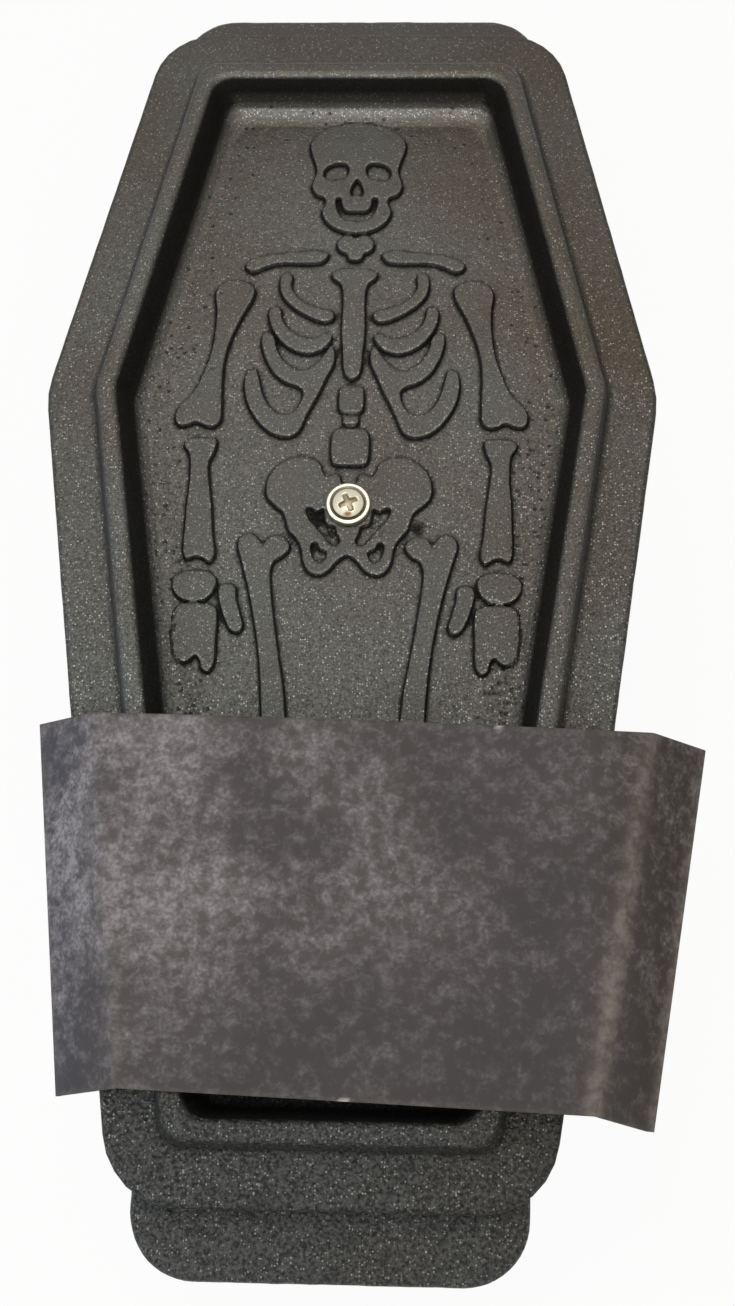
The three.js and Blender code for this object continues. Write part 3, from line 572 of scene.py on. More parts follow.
def nearest_outline(points, outlines):
    """For each flat point its distance to the nearest outline, less than zero inside a bone, and the unit
    vector away from that outline. A point is inside where a line to its right crosses the outlines an odd
    number of times, so a socket inside a bone counts as outside."""
    best = np.full(len(points), FAR)
    away = np.zeros((len(points), 2))
    inside = np.zeros(len(points), bool)
    for outline in outlines:
        low, high = outline.min(0), outline.max(0)
        near = np.flatnonzero((abs(points - (low + high) / 2) < (high - low) / 2 + FAR).all(1))
        place = points[near, None]
        after = np.roll(outline, -1, 0)
        run = after - outline
        share = ((place - outline) * run).sum(-1) / (run * run).sum(-1)
        gap = place - (outline + np.clip(share, 0, 1)[..., None] * run)
        distance = np.hypot(gap[..., 0], gap[..., 1])
        pick = distance.argmin(1)
        shortest = distance[np.arange(len(near)), pick]
        closer = shortest < best[near]
        best[near[closer]] = shortest[closer]
        straight = gap[np.arange(len(near)), pick] / np.maximum(shortest, 1e-9)[:, None]
        away[near[closer]] = straight[closer]
        passes = (outline[:, 1] > place[..., 1]) != (after[:, 1] > place[..., 1])
        rise = np.where(run[:, 1] == 0, 1, run[:, 1])
        crossing = outline[:, 0] + (place[..., 1] - outline[:, 1]) * run[:, 0] / rise
        inside[near] ^= (passes & (place[..., 0] < crossing)).sum(1) % 2 == 1
    return np.where(inside, -best, best), away * np.where(inside, -1, 1)[:, None]


def smoothstep(low, high, value):
    """Zero below low, one above high, and an even S between."""
    t = np.clip((value - low) / (high - low), 0, 1)
    return t * t * (3 - 2 * t)


def fading(distance, width):
    """One at no distance, falling off with the exponential of minus the square of distance over width."""
    return np.exp(-(distance / width) ** 2)


def drawn_to_edges(distance, spacing, slope):
    """New distances from an outline that gather the points of a grid on the top edge and the foot of a bone's
    steep side: half a spacing on either side of the outline goes to its top edge and the next spacing to its
    foot, with a small nudge between neighbours so that no two meet."""
    half, nudge = spacing / 2, spacing / 14
    stops = [-3 * half, -half, half - nudge, half + nudge, 3 * half, 5 * half]
    return np.interp(distance, stops, [-3 * half, -2 * nudge, 0, slope, slope + 2 * nudge, 5 * half])


# Materials

# Places of the Mix node's inputs: its share, its two numbers and its two colours
SHARE, NUMBER_A, NUMBER_B, COLOUR_A, COLOUR_B = 0, 2, 3, 6, 7

# Point attributes of the castings: painted shade in corners together with dark mould flaws, crumbled mould,
# rubbed places with painted highlights, and smooth tops
WEAR_AND_LIGHT = ("shade_and_flaws", "pitted", "wear_and_highlight", "smooth")

# From the screw's axis to the middle of its rust spot
RUST_FROM_AXIS = 3.1

# Share of the floor's white that is its own glow, and of the sky's white that lights the object
FLOOR_GLOW, SKY_LIGHT = 0.94, 0.24


def add(tree, kind, inputs=(), **settings):
    """Adds a node with its settings. An input that is a socket is linked, one that is a node is linked from
    that node's first output in use, and any other is set as a value, a colour with full alpha."""
    node = tree.nodes.new("ShaderNode" + kind)
    for key, value in settings.items():
        setattr(node, key, value)
    for key, value in dict(inputs).items():
        if isinstance(value, bpy.types.Node):
            value = next(output for output in value.outputs if output.enabled)
        if isinstance(value, bpy.types.NodeSocket):
            tree.links.new(value, node.inputs[key])
        else:
            node.inputs[key].default_value = (*value, 1) if isinstance(value, Color) else value
    return node


def new_material(name):
    """An empty node material, its tree and its Object coordinates."""
    material = bpy.data.materials.new(name)
    material.use_nodes = True
    tree = material.node_tree
    tree.nodes.clear()
    return material, tree, add(tree, "TexCoord").outputs["Object"]


def per_metre(size_mm):
    """Pattern scale at which one feature is this many millimetres wide."""
    return 1 / (size_mm * MM)


def seasoned_sand_cast_iron(finish):
    """Grey iron cast in sand and seasoned with baked oil: a satin grain, fine at the head end and a ragged
    crust at the foot end, pitted where the sand crumbled, with painted light on it: a warm and cool tint,
    painted shade in corners and over the foot end, painted highlights on edges that face the foot, and many
    small painted glints."""
    material, tree, place = new_material("seasoned_sand_cast_iron")
    axes = add(tree, "SeparateXYZ", {"Vector": place})
    across, along = axes.outputs["X"], axes.outputs["Y"]
    shade_and_flaws, pitted, wear_and_highlight, smooth = (
        add(tree, "Attribute", attribute_name=name).outputs["Fac"] for name in WEAR_AND_LIGHT
    )
    coarse = add(tree, "MapRange", {
        "Value": along, "From Min": 120 * MM, "From Max": -50 * MM, "To Min": 0.42,
    })
    foot = add(tree, "MapRange", {"Value": along, "From Min": -85 * MM, "From Max": -125 * MM})

    # Random patches of browned and grey seasoning, with a painted light tint over them: greyer and cooler
    # towards the foot, browner and warmer on the right
    patches = add(tree, "TexNoise", {"Vector": place, "Scale": per_metre(38), "Detail": 3})
    patches_and_light_drift = add(tree, "Math", {0: coarse, 1: 0.6, 2: patches}, operation="MULTIPLY_ADD")
    right = add(tree, "MapRange", {"Value": across, "From Max": 75 * MM, "To Max": 0.26})
    patches_and_light_tint = add(tree, "Math", {0: patches_and_light_drift, 1: right}, operation="SUBTRACT")
    tint = add(tree, "MapRange", {"Value": patches_and_light_tint, "From Min": 0.45, "From Max": 1.35})
    # Rubbed places brightened as painted highlights, mostly on edges and roundings that face the foot
    rub_and_highlight = add(tree, "Math", {0: wear_and_highlight, 1: 0.15}, operation="MULTIPLY")

    # Sand grain, drawn at 0.5 mm so that it shows, and a ragged crust of 0.75 mm in its place at the foot end
    # and where the mould crumbled
    even = add(tree, "MapRange", {"Value": smooth, "To Min": 1, "To Max": 0.75})
    rough = add(tree, "Math", {0: coarse, 1: even}, operation="MULTIPLY")
    grain = add(tree, "TexNoise", {
        "Vector": place, "Scale": per_metre(0.5), "Detail": 3, "Roughness": 0.6,
    })
    crust = add(tree, "TexNoise", {
        "Vector": place, "Scale": per_metre(0.75), "Detail": 4, "Roughness": 0.65,
    })
    lumps = add(tree, "MapRange", {
        "Value": crust, "From Min": 0.34, "From Max": 0.66, "To Min": 0.2, "To Max": 0.74,
    })
    crumbled = add(tree, "Math", {0: pitted, 1: 1.8}, operation="MULTIPLY")
    lumpy = add(tree, "Math", {0: crumbled, 1: foot}, operation="MAXIMUM")
    clumped = add(tree, "Mix", {SHARE: lumpy, NUMBER_A: grain, NUMBER_B: lumps})
    speckle = add(tree, "MapRange", {
        "Value": clumped, "From Min": 0.28, "From Max": 0.67, "To Min": 0.15, "To Max": 1.95,
    })

    # Pits, each in one cell of 1.2 mm, more of them where the mould crumbled
    cells = add(tree, "TexVoronoi", {"Vector": place, "Scale": per_metre(1.2)})
    cell_luck = add(tree, "SeparateColor", {"Color": cells.outputs["Color"]})
    crumbling = add(tree, "Math", {0: pitted, 1: coarse}, operation="MULTIPLY")
    loose = add(tree, "Math", {0: foot, 1: 0.12, 2: crumbling}, operation="MULTIPLY_ADD")
    pit_here = add(tree, "Math", {0: cell_luck.outputs["Green"], 1: loose}, operation="LESS_THAN")
    pit_shape = add(tree, "MapRange", {
        "Value": cells.outputs["Distance"], "From Min": 0.55, "From Max": 0.2, "To Max": 0.75,
    })
    pit = add(tree, "Math", {0: pit_here, 1: pit_shape}, operation="MULTIPLY")
    # Painted shade over the foot end, joined with the pits and with the castings' painted shade and mould
    # flaws
    painted_foot_shade = add(tree, "Math", {0: foot, 1: 0.52}, operation="MULTIPLY")
    sunk = add(tree, "Math", {0: pit, 1: painted_foot_shade}, operation="MAXIMUM")
    pits_flaws_and_shade = add(tree, "Math", {0: sunk, 1: shade_and_flaws}, operation="MAXIMUM")

    # Painted glints, each in one cell of 0.55 mm, that stand for bare facets catching the light: brighter
    # where the grain is coarse or the surface rubbed and painted with a highlight, dimmer under the painted
    # shade at the foot end and in corners
    facets = add(tree, "TexVoronoi", {"Vector": place, "Scale": per_metre(0.55)})
    facet_luck = add(tree, "SeparateColor", {"Color": facets.outputs["Color"]})
    rubbed = add(tree, "Math", {0: wear_and_highlight, 1: 0.4, 2: facet_luck.outputs["Red"]}, operation="MULTIPLY_ADD")
    lucky = add(tree, "MapRange", {"Value": rubbed, "From Min": 0.7, "From Max": 0.95})
    ragged = add(tree, "Math", {0: grain, 1: 0.8, 2: facets.outputs["Distance"]}, operation="MULTIPLY_ADD")
    spot = add(tree, "MapRange", {"Value": ragged, "From Min": 0.85, "From Max": 0.55})
    glint = add(tree, "Math", {0: lucky, 1: spot}, operation="MULTIPLY")
    showing = add(tree, "Math", {0: rough, 1: wear_and_highlight}, operation="MAXIMUM")
    sparkle = add(tree, "Math", {0: glint, 1: showing}, operation="MULTIPLY")
    foot_shade_dim = add(tree, "MapRange", {"Value": foot, "To Min": 1, "To Max": 0.55})
    glints_dimmed = add(tree, "Math", {0: sparkle, 1: foot_shade_dim}, operation="MULTIPLY")
    open_air = add(tree, "MapRange", {
        "Value": shade_and_flaws, "From Min": 0.2, "From Max": 0.8, "To Min": 0.95, "To Max": 0.12,
    })
    shine = add(tree, "Math", {0: glints_dimmed, 1: open_air}, operation="MULTIPLY")

    # The coat's layers from the bottom up: grey seasoning with its painted light tint, rubbed places with
    # painted highlights, grain, pits and mould flaws with painted shade, and painted glints
    coat = finish.iron_warm
    for share, colour, blend in (
        (tint, finish.iron_cool, "MIX"),
        (rub_and_highlight, finish.iron_fleck, "MIX"),
        (rough, speckle, "MULTIPLY"),
        (pits_flaws_and_shade, finish.iron_dark, "MIX"),
        (shine, finish.iron_fleck, "MIX"),
    ):
        layer = {SHARE: share, COLOUR_A: coat, COLOUR_B: colour}
        coat = add(tree, "Mix", layer, data_type="RGBA", blend_type=blend)

    # Glossier where the grain stands high, duller in hollows, with the grain and pits as a low bump
    satin = add(tree, "MapRange", {
        "Value": grain, "From Min": 0.3, "From Max": 0.7, "To Min": 0.48, "To Max": 0.34,
    })
    gloss = add(tree, "Math", {0: shade_and_flaws, 1: 0.3, 2: satin}, operation="MULTIPLY_ADD")
    # More metallic under the painted shade, so that there the near-black iron reflects almost nothing
    metal = add(tree, "MapRange", {"Value": shade_and_flaws, "To Min": 0.6, "To Max": 0.97})
    lowered = add(tree, "Math", {0: clumped, 1: pit}, operation="SUBTRACT")
    bump = add(tree, "Bump", {"Strength": coarse, "Distance": 0.3 * MM, "Height": lowered})
    shader = add(tree, "BsdfPrincipled", {
        "Base Color": coat, "Roughness": gloss, "Metallic": metal, "Normal": bump,
    })
    add(tree, "OutputMaterial", {"Surface": shader})
    return material


def bright_zinc_plate(finish):
    """Bright zinc plating on a stamped screw and washer: a silvery metal, faintly mottled, with one rust
    spot, and dull painted shade that isn't metallic in its hollows."""
    material, tree, place = new_material("bright_zinc_plate")
    shade_and_flaws = add(tree, "Attribute", attribute_name="shade_and_flaws").outputs["Fac"]
    mottle = add(tree, "TexNoise", {"Vector": place, "Scale": per_metre(0.8), "Detail": 3})
    spot_place = (SCREW_AXIS[0] * MM, (SCREW_AXIS[1] - RUST_FROM_AXIS) * MM, SCREW_HIGH[2] * MM)
    spot = add(tree, "VectorMath", {0: place, 1: spot_place}, operation="DISTANCE").outputs["Value"]
    ragged = add(tree, "Math", {0: mottle, 1: 1.2 * MM, 2: spot}, operation="MULTIPLY_ADD")
    stain = add(tree, "MapRange", {
        "Value": ragged, "From Min": 1.8 * MM, "From Max": 1.2 * MM, "To Max": 0.85,
    })
    tarnish = add(tree, "MapRange", {
        "Value": mottle, "From Min": 0.45, "From Max": 0.75, "To Max": 0.12,
    })
    coat = finish.zinc
    for share, colour in (
        (tarnish, finish.zinc_stain), (stain, finish.zinc_stain), (shade_and_flaws, finish.zinc_grime),
    ):
        coat = add(tree, "Mix", {SHARE: share, COLOUR_A: coat, COLOUR_B: colour}, data_type="RGBA")
    gloss = add(tree, "MapRange", {"Value": mottle, "To Min": 0.24, "To Max": 0.44})
    metal = add(tree, "MapRange", {"Value": shade_and_flaws, "To Min": 1, "To Max": 0.1})
    shader = add(tree, "BsdfPrincipled", {"Base Color": coat, "Roughness": gloss, "Metallic": metal})
    add(tree, "OutputMaterial", {"Surface": shader})
    return material


def turned_stainless_steel(finish):
    """Stainless steel turned on a lathe: fine rings round the axis, drawn 0.5 mm apart so that they show."""
    material, tree, place = new_material("turned_stainless_steel")
    centred = add(tree, "Mapping", {
        "Vector": place, "Location": (-SCREW_AXIS[0] * MM, -SCREW_AXIS[1] * MM, 0),
    })
    rings = add(tree, "TexWave", {
        "Vector": centred, "Scale": per_metre(0.5) / 20, "Distortion": 0.4, "Detail": 2,
    }, wave_type="RINGS", rings_direction="Z").outputs["Fac"]
    gloss = add(tree, "MapRange", {"Value": rings, "To Min": 0.2, "To Max": 0.36})
    bump = add(tree, "Bump", {"Strength": 0.15, "Distance": 0.02 * MM, "Height": rings})
    shader = add(tree, "BsdfPrincipled", {
        "Base Color": finish.steel, "Roughness": gloss, "Metallic": 1, "Normal": bump,
    })
    add(tree, "OutputMaterial", {"Surface": shader})
    return material


def mottled_printed_card(finish):
    """Matt printed carton board: a print like sponged slate under painted light: a painted sheen that makes
    it pale and brownish at the upper left, darker and plainer to the right and towards the foot, painted cool
    light that makes it bluish on the left bevel and painted shade that makes it brown on the right one, and
    rubbed thin along creases and edges, with a painted highlight along the right crease."""
    material, tree, place = new_material("mottled_printed_card")
    axes = add(tree, "SeparateXYZ", {"Vector": place})
    across, along = axes.outputs["X"], axes.outputs["Y"]
    wear_and_highlight, chipped = (
        add(tree, "Attribute", attribute_name=name).outputs["Fac"] for name in ("wear_and_highlight", "chipped")
    )

    # How thin the dark ink lies, in slow clouds, with a painted sheen that thins it to the left and to the
    # head
    sheen_leftward = add(tree, "MapRange", {
        "Value": across, "From Min": 40 * MM, "From Max": -60 * MM, "To Min": 0.28,
    })
    headward = add(tree, "MapRange", {
        "Value": along, "From Min": -125 * MM, "From Max": -80 * MM, "To Min": 0.12,
    })
    clouds = add(tree, "TexNoise", {"Vector": place, "Scale": per_metre(24), "Detail": 3})
    cloudy = add(tree, "MapRange", {
        "Value": clouds, "From Min": 0.38, "From Max": 0.6, "To Min": 0.35, "To Max": 1.3,
    })
    sheen_slant = add(tree, "Math", {0: sheen_leftward, 1: headward}, operation="MULTIPLY")
    thin = add(tree, "Math", {0: sheen_slant, 1: cloudy}, operation="MULTIPLY")

    # Where the painted cool light of the left bevel and the painted shade of the right bevel lie
    slate = add(tree, "MapRange", {
        "Value": across, "From Min": -46 * MM, "From Max": -62 * MM, "To Max": 0.75,
    })
    umber = add(tree, "MapRange", {"Value": across, "From Min": 54 * MM, "From Max": 72 * MM})

    # Sponged pale mottle of 3.4 mm patches that break up into grit, sparser where the ink lies thick and away
    # from the painted sheen
    sponge = add(tree, "TexNoise", {
        "Vector": place, "Scale": per_metre(3.4), "Detail": 8, "Roughness": 0.72, "Distortion": 0.2,
    })
    dense = add(tree, "Math", {0: thin, 1: 0.1, 2: sponge}, operation="MULTIPLY_ADD")
    torn = add(tree, "MapRange", {"Value": dense, "From Min": 0.49, "From Max": 0.69})
    grit = add(tree, "TexNoise", {"Vector": place, "Scale": per_metre(0.9), "Detail": 4})
    gritty = add(tree, "MapRange", {
        "Value": grit, "From Min": 0.35, "From Max": 0.65, "To Min": 0.35, "To Max": 1.2,
    })
    shown = add(tree, "MapRange", {"Value": thin, "To Min": 0.24, "To Max": 1})
    mottle = add(tree, "Math", {0: torn, 1: gritty}, operation="MULTIPLY")
    pale = add(tree, "Math", {0: mottle, 1: shown}, operation="MULTIPLY")

    # Creases rubbed and painted with a highlight, and the coat's layers from the bottom up
    patchy = add(tree, "MapRange", {
        "Value": sponge, "From Min": 0.36, "From Max": 0.6, "To Min": 0.2, "To Max": 0.75,
    })
    rubbed = add(tree, "Math", {0: wear_and_highlight, 1: patchy}, operation="MULTIPLY")
    coat = finish.print_dark
    for share, colour in (
        (thin, finish.print_brown),
        (slate, finish.print_blue),
        (umber, finish.print_umber),
        (pale, finish.print_light),
        (rubbed, finish.card_worn),
        (chipped, finish.card_bare),
    ):
        coat = add(tree, "Mix", {SHARE: share, COLOUR_A: coat, COLOUR_B: colour}, data_type="RGBA")
    fibres = add(tree, "TexNoise", {"Vector": place, "Scale": per_metre(0.5), "Detail": 2})
    bump = add(tree, "Bump", {"Strength": 0.12, "Distance": 0.05 * MM, "Height": fibres})
    shader = add(tree, "BsdfPrincipled", {
        "Base Color": coat, "Roughness": 0.7, "Specular IOR Level": 0.3, "Normal": bump,
    })
    add(tree, "OutputMaterial", {"Surface": shader})
    return material


def bare_board(finish):
    """Unprinted carton board: pale grey-brown with fine darker fibres."""
    material, tree, place = new_material("bare_board")
    fibres = add(tree, "TexNoise", {
        "Vector": place, "Scale": per_metre(0.7), "Detail": 4, "Distortion": 1.5,
    })
    speck = add(tree, "MapRange", {
        "Value": fibres, "From Min": 0.45, "From Max": 0.3, "To Max": 0.35,
    })
    coat = add(tree, "Mix", {
        SHARE: speck, COLOUR_A: finish.card_bare, COLOUR_B: finish.print_light,
    }, data_type="RGBA")
    shader = add(tree, "BsdfPrincipled", {"Base Color": coat, "Roughness": 0.85})
    add(tree, "OutputMaterial", {"Surface": shader})
    return material


def pale_floor(finish):
    """Plain pale floor that goes to white for the camera and in reflections and keeps the object's shadow."""
    material, tree, _ = new_material("pale_floor")
    plain = add(tree, "BsdfPrincipled", {"Base Color": finish.floor, "Roughness": 0.9})
    share = add(tree, "Math", {0: seen_directly(tree), 1: FLOOR_GLOW}, operation="MULTIPLY")
    glow = add(tree, "Emission", {"Color": (1, 1, 1, 1), "Strength": 1})
    blend = add(tree, "MixShader", {0: share, 1: plain, 2: glow})
    add(tree, "OutputMaterial", {"Surface": blend})
    return material


def seen_directly(tree):
    """One for rays from the camera, reflections and clear materials, and zero for rays that only light."""
    path = add(tree, "LightPath")
    either = add(tree, "Math", {
        0: path.outputs["Is Camera Ray"], 1: path.outputs["Is Glossy Ray"],
    }, operation="MAXIMUM")
    return add(tree, "Math", {0: either, 1: path.outputs["Is Transmission Ray"]}, operation="MAXIMUM")


def finished(make, finish):
    """A material by its maker's name, made once."""
    return bpy.data.materials.get(make.__name__) or make(finish)


# Lid

# Points across the lid's panel, and from the panel's border in to the profile's first ring, to the panel's
# grid and to the grid under it
LID_COLUMNS = 161
RING_GAP, PANEL_GAP, UNDER_GAP = 0.4, 1.0, 0.5


def lid_profile(lid):
    """The lid's profile from the panel's border over the rib and flange to the underside, as [inset, z]
    points with z from the flange's upper face, and the inset and height of the panel."""
    crest = lid.rib_inset + lid.rib_lean
    rib_inner = crest + lid.rib_crest
    foot = rib_inner + lid.recess_lean
    lean = math.pi / 2 - math.atan2(lid.recess_lean, lid.recess_depth)
    border = foot + lid.recess_fillet * math.tan(lean / 2)
    panel = lid.rib_height - lid.recess_depth
    under = panel - lid.panel_thickness
    outer = foot - lid.panel_wall
    profile = rounded([
        [border + RING_GAP, panel, 0],
        [foot, panel, lid.recess_fillet],
        [rib_inner, lid.rib_height, lid.rib_edge],
        [crest, lid.rib_height, lid.rib_edge],
        [lid.rib_inset, 0, lid.flange_edge],
        [0, 0, lid.flange_edge],
        [0, -lid.flange_thickness, lid.flange_edge],
        [outer, -lid.flange_thickness, lid.flange_edge],
        [outer + lid.panel_edge, under, lid.panel_edge],
        [border, under, 0],
    ], steps=4)
    return profile, border, panel


def bone_rise(lid, distance):
    """Height of the figure at a distance from the nearest outline: a bone's full height inside it, and an
    even S down its steep side."""
    return lid.bone_height * (1 - smoothstep(0, lid.bone_slope, distance))


def figure_relief(lid, panel, grid, outlines):
    """The panel's grid with the figure raised on it, each point's distance from the nearest outline and its
    direction away from it. Points inside the grid's border are drawn to the bones' edges."""
    flat = grid.reshape(-1, 2)
    distance, away = nearest_outline(flat, outlines)
    drawn = drawn_to_edges(distance, spacing=0.6, slope=lid.bone_slope)
    inner = np.zeros(grid.shape[:2], bool)
    inner[1:-1, 1:-1] = True
    inner = inner.ravel()
    flat = flat + away * ((drawn - distance) * inner)[:, None]
    drawn = np.where(inner, drawn, distance)
    return level(flat, panel + bone_rise(lid, drawn)), drawn, away


def crumbling_share(coffin, y):
    """How much of the crumbled mould shows at a height y: half towards the head, and all below the middle."""
    return 0.5 + 0.5 * smoothstep(0.3, -0.1, y / coffin.length)


def panel_wear(coffin, lid, border, flat, drawn, away):
    """Wear and painted light of the panel's points: painted shade at the feet of bones, narrower and fainter
    on the head side, painted shade on their edges on the head side, painted highlights on their edges on the
    foot side, smooth tops, and crumbled spots and border."""
    headward, footward = np.clip(away[:, 1], 0, 1), np.clip(-away[:, 1], 0, 1)
    # Painted shade at the foot of each bone's steep side and along its top edge on the head side, and a
    # painted highlight along its top edge on the foot side
    foot_shade_width, foot_shade_strength = 0.42 - 0.2 * headward, 0.92 - 0.3 * headward
    edge_width, edge_strength = 0.25, 0.7 * headward
    highlight_width, highlight_inset = 0.3, 0.2
    seam = foot_shade_strength * fading(drawn - lid.bone_slope, foot_shade_width)
    edge_shade = edge_strength * fading(drawn, edge_width)
    edge_highlight = footward * fading(drawn + highlight_inset, highlight_width)

    flaws = np.array(MOULD_FLAWS)
    shoulder = [0, coffin.length / 2 - coffin.head_to_shoulder]
    apart = np.linalg.norm(flat[:, None] - flaws[:, :2] - shoulder, axis=-1)
    flaw = (flaws[:, 3] * np.exp(-(apart / flaws[:, 2]) ** 4)).max(1) * (drawn > 0)
    faint_flaw = np.where(flaw < 0.6, 1.5 * flaw, 0)

    from_side = (half_width(coffin, flat[:, 1]) - abs(flat[:, 0])) / math.hypot(1, max(slants(coffin)))
    from_border = np.minimum(from_side, coffin.length / 2 - abs(flat[:, 1])) - border
    beside_wall = smoothstep(11, 2, from_border) * crumbling_share(coffin, flat[:, 1])
    return np.stack([
        np.maximum.reduce([seam, edge_shade, 0.9 * flaw]),
        np.maximum(flaw, 0.35 * beside_wall * (drawn > 0)),
        np.maximum(edge_highlight, faint_flaw),
        smoothstep(-0.3, -0.9, drawn),
    ], -1)


def ring_wear(coffin, lid, flat, inset, z, above):
    """Wear and painted light of one ring of the lid's profile, where above says that it lies on the upper
    side:
    painted shade on the recess wall, at the flange's edge and at the rib's foot, a little darker on the
    flange, crumbled below the wall, and a painted highlight at the head end on the concave rounding and the
    rib's crest, which face the foot."""
    panel, top = lid.rib_height - lid.recess_depth, lid.rib_height
    run = unit(np.roll(flat, -1, 0) - np.roll(flat, 1, 0))
    faces_foot = np.clip(-run[:, 0], 0, 1) ** 4
    in_recess = above and inset > lid.rib_inset + lid.rib_lean + lid.rib_crest - 0.6
    # Painted shade on the recess wall, at the flange's edge and at the rib's foot, and a little darker all
    # over the flange
    wall_foot = panel + 0.8 + 2.6 * faces_foot
    wall = smoothstep(top - 0.3, top - 1.6, z) * smoothstep(wall_foot, wall_foot + 1.8, z)
    flange_edge = 0.4 * smoothstep(1.5, 0.5, inset) * (z > -lid.flange_thickness / 2)
    rib_foot_shade = 0.4 * smoothstep(1.5, 0.5, abs(inset - lid.rib_inset)) * above
    flange = 0.08 * (inset < lid.rib_inset) * above
    # Painted highlight on the concave rounding and on the rib's crest, where they face the foot
    rounding = smoothstep(panel + 0.1, panel + 0.8, z) * smoothstep(panel + 3, panel + 1.6, z)
    crest = smoothstep(1.1, 0.2, abs(z - top + 0.4))
    return np.stack([
        np.maximum(0.84 * wall * in_recess, max(flange_edge, rib_foot_shade, flange)),
        0.3 * crumbling_share(coffin, flat[:, 1]) * (1 - wall) * in_recess * (z < top - 2),
        faces_foot * np.maximum(rounding, 0.7 * crest) * in_recess,
        np.zeros(len(flat)),
    ], -1)


class LOAFPAN_OT_lid(bpy.types.Operator):
    """Make the lid: a panel with the figure in relief, carried out over rib and flange to the underside"""

    bl_idname = "loaf_pan.lid"
    bl_label = "Lid"

    def execute(self, context):
        use = settings(context)
        coffin, lid = use.coffin, use.lid
        along = places(arc_steps=24, lower_steps=[[0.44, 56], [0.56, 156]], upper_steps=128, shoulder_steps=8)
        across = np.linspace(-1, 1, LID_COLUMNS)
        profile, border, panel = lid_profile(lid)
        profile = supported(profile, gap=0.35, longest=4.5)
        outlines = bone_outlines(coffin.length / 2 - coffin.head_to_shoulder, steps=6)

        grid = filling(coffin_side(coffin, border + PANEL_GAP, along), across)
        top, drawn, away = figure_relief(lid, panel, grid, outlines)
        wear_and_light = [panel_wear(coffin, lid, border, top[:, :2], drawn, away)]

        # Rings of the profile: every second point as far as the flange's middle and every fourth from there
        rings = []
        outermost = int(profile[:, 0].argmin())
        turn = int(np.argmax(profile[:, 0] < lid.rib_inset / 2))
        for index, (inset, z) in enumerate(profile):
            flat = ring(coffin_side(coffin, inset, along), across)[::2 if index <= turn else 4]
            beside_panel = inset > border - lid.recess_fillet and z >= panel
            on_bone = panel + bone_rise(lid, nearest_outline(flat, outlines)[0])
            rings.append(level(flat, np.maximum(z, on_bone) if beside_panel else z))
            wear_and_light.append(ring_wear(coffin, lid, flat, inset, z, index < outermost))
        under_grid = filling(coffin_side(coffin, border + UNDER_GAP, along[::4]), across[::4])
        under = level(under_grid.reshape(-1, 2), profile[-1, 1])
        wear_and_light.append(np.zeros((len(under), len(WEAR_AND_LIGHT))))

        dense, sparse = len(rings[0]), len(rings[-1])
        first = len(top)
        later = first + dense * (turn + 1)
        last = later + sparse * (len(rings) - turn - 1)
        faces = [
            level_split(top, grid_faces(*grid.shape[:2])),
            halving_band(grid_border(*grid.shape[:2]), first + np.arange(dense)),
            bands(first, turn + 1, dense),
            halving_band(later - dense + np.arange(dense), later + np.arange(sparse)),
            bands(later, len(rings) - turn - 1, sparse),
            band(last - sparse + np.arange(sparse), last + grid_border(*under_grid.shape[:2])),
            last + grid_faces(*under_grid.shape[:2])[:, ::-1],
        ]
        points = np.concatenate([top, *rings, under])
        points += [LID_MIDDLE[0], LID_MIDDLE[1], LID_HIGH[2] - lid.rib_height]
        attributes = dict(zip(WEAR_AND_LIGHT, np.concatenate(wear_and_light).T))
        iron = finished(seasoned_sand_cast_iron, use.finish)
        piece = mesh_piece("iron_lid", points, faces, [iron], "lid", "lid", attributes)
        roughen(piece, lid.unevenness)
        piece.data.set_sharp_from_angle(angle=CRISP_ANGLE)
        return {"FINISHED"}


# Pan

# Points across the pan's floor, the gap from an end of its rings in to a grid, the gap between rings beside
# an edge, and the hollow rounding under the rim
PAN_COLUMNS = 49
GRID_GAP, EDGE_GAP, UNDER_RIM = 0.5, 0.5, 0.8


def rim_side(coffin, pan, edge, along):
    """Right-hand edge of the pan's rim with its handle tabs, drawn in by an edge. At each end the coffin's
    corner, where it lies inside the tab's width, gives way to the tab's own corner, and the places on it are
    shared out by length."""
    inset, radius = pan.rim_margin + edge, pan.tab_corner - edge
    side = coffin_side(coffin, inset, along)
    quarter = np.linspace(-math.pi / 2, 0, 40)
    fine = np.linspace(0, 1, 200)

    def with_tab(arc, width, tip, share):
        """The tab's corner and the rest of the coffin's arc, at shares of their length."""
        half = width / 2 - edge
        middle = [half - radius, radius + edge - tip]
        corner = middle + radius * np.stack([np.cos(quarter), np.sin(quarter)], -1)
        path = np.concatenate([corner, arc[arc[:, 0] > half]])
        run = np.r_[0, np.linalg.norm(np.diff(path, axis=0), axis=1).cumsum()]
        return np.stack([np.interp(share * run[-1], run, path[:, k]) for k in (0, 1)], -1)

    foot, head = along <= 1, along >= 4
    flip = np.array([1, -1])
    foot_arc, head_arc = coffin_side(coffin, inset, fine), coffin_side(coffin, inset, 5 - fine) * flip
    side[foot] = with_tab(foot_arc, pan.foot_tab_width, -PAN_LOW[1], along[foot])
    side[head] = with_tab(head_arc, pan.head_tab_width, PAN_HIGH[1], 5 - along[head]) * flip
    return side


